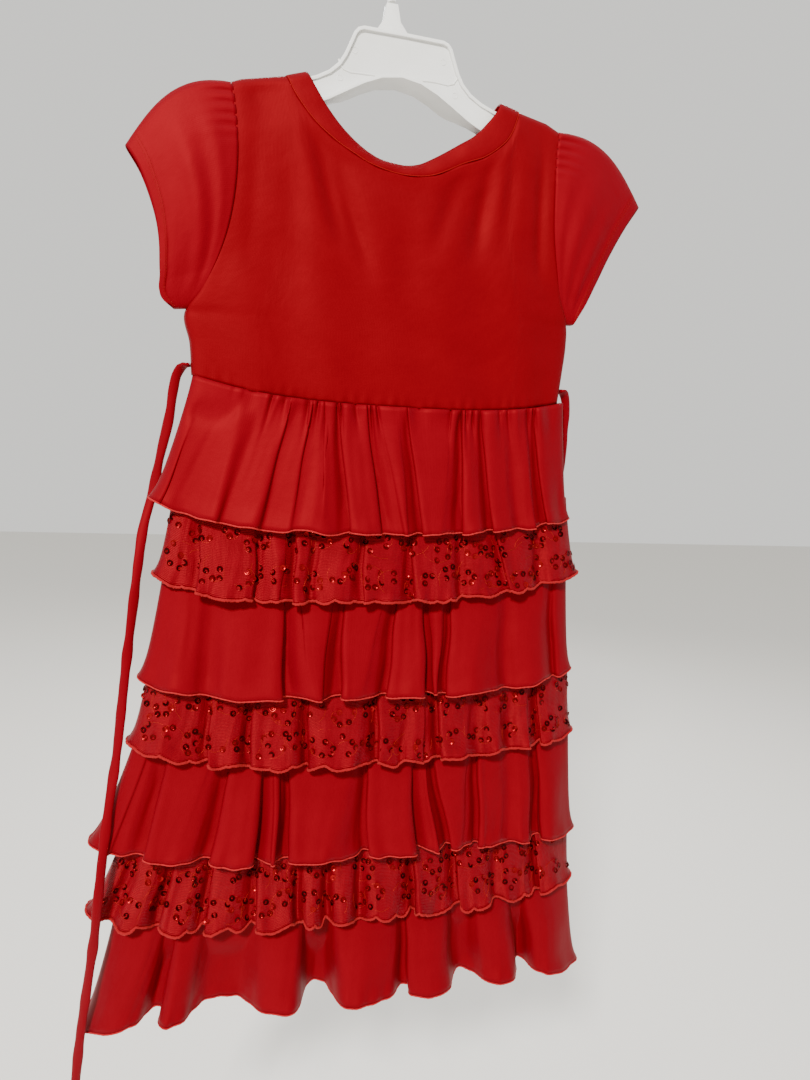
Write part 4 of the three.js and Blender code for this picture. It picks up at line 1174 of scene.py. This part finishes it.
def tie_along(name, route):
    route = np.array(route, float)
    run = np.concatenate([[0], np.cumsum(np.linalg.norm(np.diff(route, axis=0), axis=1))])
    stops = np.linspace(0, run[-1], int(run[-1] / 4.0))
    middle = np.stack([through(run, route[:, k], stops) for k in range(3)], axis=1)
    tangent = np.gradient(middle, axis=0)
    tangent /= np.linalg.norm(tangent, axis=1, keepdims=True)
    flat = bmesh.new()
    ring = bmesh.ops.create_circle(flat, cap_ends=False, segments=14, radius=1.0)["verts"]
    circle = [v.co.copy() for v in ring]
    edges = list(flat.edges)
    loops = [ring]
    for _ in stops[1:]:
        grown = bmesh.ops.extrude_edge_only(flat, edges=edges)["geom"]
        loops.append([g for g in grown if isinstance(g, bmesh.types.BMVert)])
        edges = [g for g in grown if isinstance(g, bmesh.types.BMEdge) and all(v in loops[-1] for v in g.verts)]
    twist = ripple(stops, 260, 77 if "left" in name else 78) * 0.35
    pinch = ripple(stops, 34, 79) * 0.07
    for k, loop in enumerate(loops):
        side = Vector((1, 0, 0)) * math.cos(twist[k]) + Vector((0, 1, 0)) * math.sin(twist[k])
        ahead_here = Vector(tangent[k])
        side = (side - ahead_here * side.dot(ahead_here)).normalized()
        other = ahead_here.cross(side)
        tip = min(1.0, 0.30 + (len(stops) - 1 - k) * 0.7)
        for v, at in zip(loop, circle):
            wide = TIE_WIDTH / 2 * (1 + pinch[k]) * tip
            thick = TIE_THICK / 2 * (1 - pinch[k]) * tip
            v.co = (Vector(middle[k]) + side * at.x * wide + other * at.y * thick) * MM
    bmesh.ops.holes_fill(flat, edges=[e for e in flat.edges if e.is_boundary], sides=0)
    bmesh.ops.recalc_face_normals(flat, faces=flat.faces)
    for face in flat.faces:
        face.smooth = True
    mesh_data = bpy.data.meshes.new(name)
    flat.to_mesh(mesh_data)
    flat.free()
    return object_of(name, mesh_data), run[-1], middle


for side, route in TIE_ROUTES.items():
    cord, length, middle = tie_along(f"tie_{side}_cord", route)
    finish_piece(cord, tier_jersey, [f"tie_{side}"])
    length * MM
    print(cord.name, "length", round(length), "mm")

# %% [markdown]
# ## The hanger
#
# A white moulding with a flange all round a thin web. The solid model already has its shape, so a
# copy of it is welded and its edges are rounded, as a mould leaves them. The hook is swept again,
# rounder than the solid. Two low ribs mark off the plate from the arms, and four small rings are left
# where the mould's pins pushed the part out. Ribs and rings are narrow tubes half sunk in the web.

# %% Hanger


def rounded_copy(node, name, width):
    shape = bmesh.new()
    shape.from_mesh(frame["nodes"][node].data)
    bmesh.ops.remove_doubles(shape, verts=shape.verts, dist=0.00002)
    bmesh.ops.dissolve_limit(shape, angle_limit=math.radians(1.0), verts=shape.verts, edges=shape.edges)
    for face in shape.faces:
        face.smooth = True
    mesh_data = bpy.data.meshes.new(name)
    shape.to_mesh(mesh_data)
    shape.free()
    obj = object_of(name, mesh_data)
    bevel = obj.modifiers.new("rounding", "BEVEL")
    bevel.width = width * MM
    bevel.segments = 3
    bevel.limit_method = "ANGLE"
    bevel.angle_limit = math.radians(40)
    bevel.harden_normals = False
    return applied(obj)


hanger = rounded_copy("hanger", "hanger_body", 0.9)
finish_piece(hanger, plastic.material, ["hanger"])

WEB_FACE = -4.0  # the front of the thin web, which the ribs and rings stand on
PLATE_RIBS = [
    [(-53.6, -113), (-52.6, -116.6), (-49.5, -119.7), (-43.8, -121.2), (-33, -120.7), (-24, -120.4)],
    [(13, -118.6), (20, -117.8), (28, -117.7), (37, -118.3), (42, -116.6), (44.6, -112.4), (44.9, -108)],
]
PIN_MARKS = [(-41, -104.4), (32, -101.5), (-52, -126.5), (43.6, -125.3)]


def on_web(points):
    return np.array([(x, WEB_FACE, z) for x, z in points])


plate_ribs = tubes("plate_ribs", [on_web(rib) for rib in PLATE_RIBS], 0.75, sides=3)
finish_piece(plate_ribs, plastic.material)
around = np.linspace(0, 2 * math.pi, 20, endpoint=False)
rings = [on_web([(x + 2.2 * math.cos(a), z + 2.2 * math.sin(a)) for a in around]) for x, z in PIN_MARKS]
pin_marks = tubes("pin_marks", rings, 0.3, sides=2, closed=True)
finish_piece(pin_marks, plastic.material)

HOOK_RADIUS, HOOK_BAND = 19, 7
hook_route = [(-12.5, -62.5), (-15.5, -52), (-20.5, -36)]
for degrees in (180, 157.5, 135, 112.5, 90, 67.5, 45, 22.5, 0, -20):
    angle = math.radians(degrees)
    reach = HOOK_RADIUS + HOOK_BAND / 2
    hook_route.append((reach * math.cos(angle), reach * math.sin(angle) - HOOK_RADIUS))
hook_route = np.array(hook_route)
hook_run = np.concatenate([[0], np.cumsum(np.hypot(*np.diff(hook_route, axis=0).T))])
hook_stops = np.linspace(0, hook_run[-1], 70)
hook_path = np.stack([through(hook_run, hook_route[:, 0], hook_stops), 0 * hook_stops,
                      through(hook_run, hook_route[:, 1], hook_stops)], axis=1)
hook_end = np.clip((hook_run[-1] - hook_stops) / 3.2, 0.0, 1)
hook = tubes("hook_wire", [hook_path], HOOK_BAND / 2, sides=5,
             radii=[np.maximum(0.15, quarter(hook_end))])
finish_piece(hook, plastic.material, ["hook"])
print("hanger and hook:", len(hanger.data.polygons), len(hook.data.polygons))

# %% [markdown]
# ## Light and ground
#
# A pale room: an even world, one broad soft light high on the left and a weaker one on the right, so
# that the folds model but no shadow is hard. The floor lies well below the hem.

# %% Stage
floor_mesh = bpy.data.meshes.new("floor")
ground = bmesh.new()
bmesh.ops.create_grid(ground, x_segments=1, y_segments=1, size=6)
bmesh.ops.translate(ground, verts=ground.verts, vec=(0, 0, -1.35))
ground.to_mesh(floor_mesh)
ground.free()
floor = object_of("floor", floor_mesh)
pale = Finish("pale_floor", 0.8)
pale.colour((0.72, 0.70, 0.66, 1))
floor.data.materials.append(pale.material)

world = bpy.data.worlds.new("room")
world.use_nodes = True
world.node_tree.nodes["Background"].inputs["Color"].default_value = (0.98, 0.97, 0.93, 1)
world.node_tree.nodes["Background"].inputs["Strength"].default_value = 1.0
bpy.context.scene.world = world


def soft_light(name, place, aim, size, watts, colour):
    data = bpy.data.lights.new(name, "AREA")
    data.energy = watts
    data.size = size
    data.color = colour
    lamp = bpy.data.objects.new(name, data)
    bpy.context.collection.objects.link(lamp)
    lamp.location = place
    lamp.rotation_euler = (Vector(aim) - Vector(place)).to_track_quat("-Z", "Y").to_euler()


soft_light("key", (-1.25, -2.3, 1.25), (0, 0, -0.55), 0.34, 226, (1, 0.98, 0.95))
soft_light("fill", (0.7, 1.9, 0.9), (0, 0, -0.5), 1.2, 62, (1, 1, 1))

# %% [markdown]
# The last cell counts what was made.

# %% Count what was made
heaviest, total = ("", 0), 0
for piece in bpy.context.scene.objects:
    if piece.type == "MESH" and not piece.hide_render:
        count = sum(len(p.vertices) - 2 for p in piece.data.polygons)
        total += count
        heaviest = max(heaviest, (piece.name, count), key=lambda pair: pair[1])
print("triangles in all:", total, "heaviest piece:", heaviest)
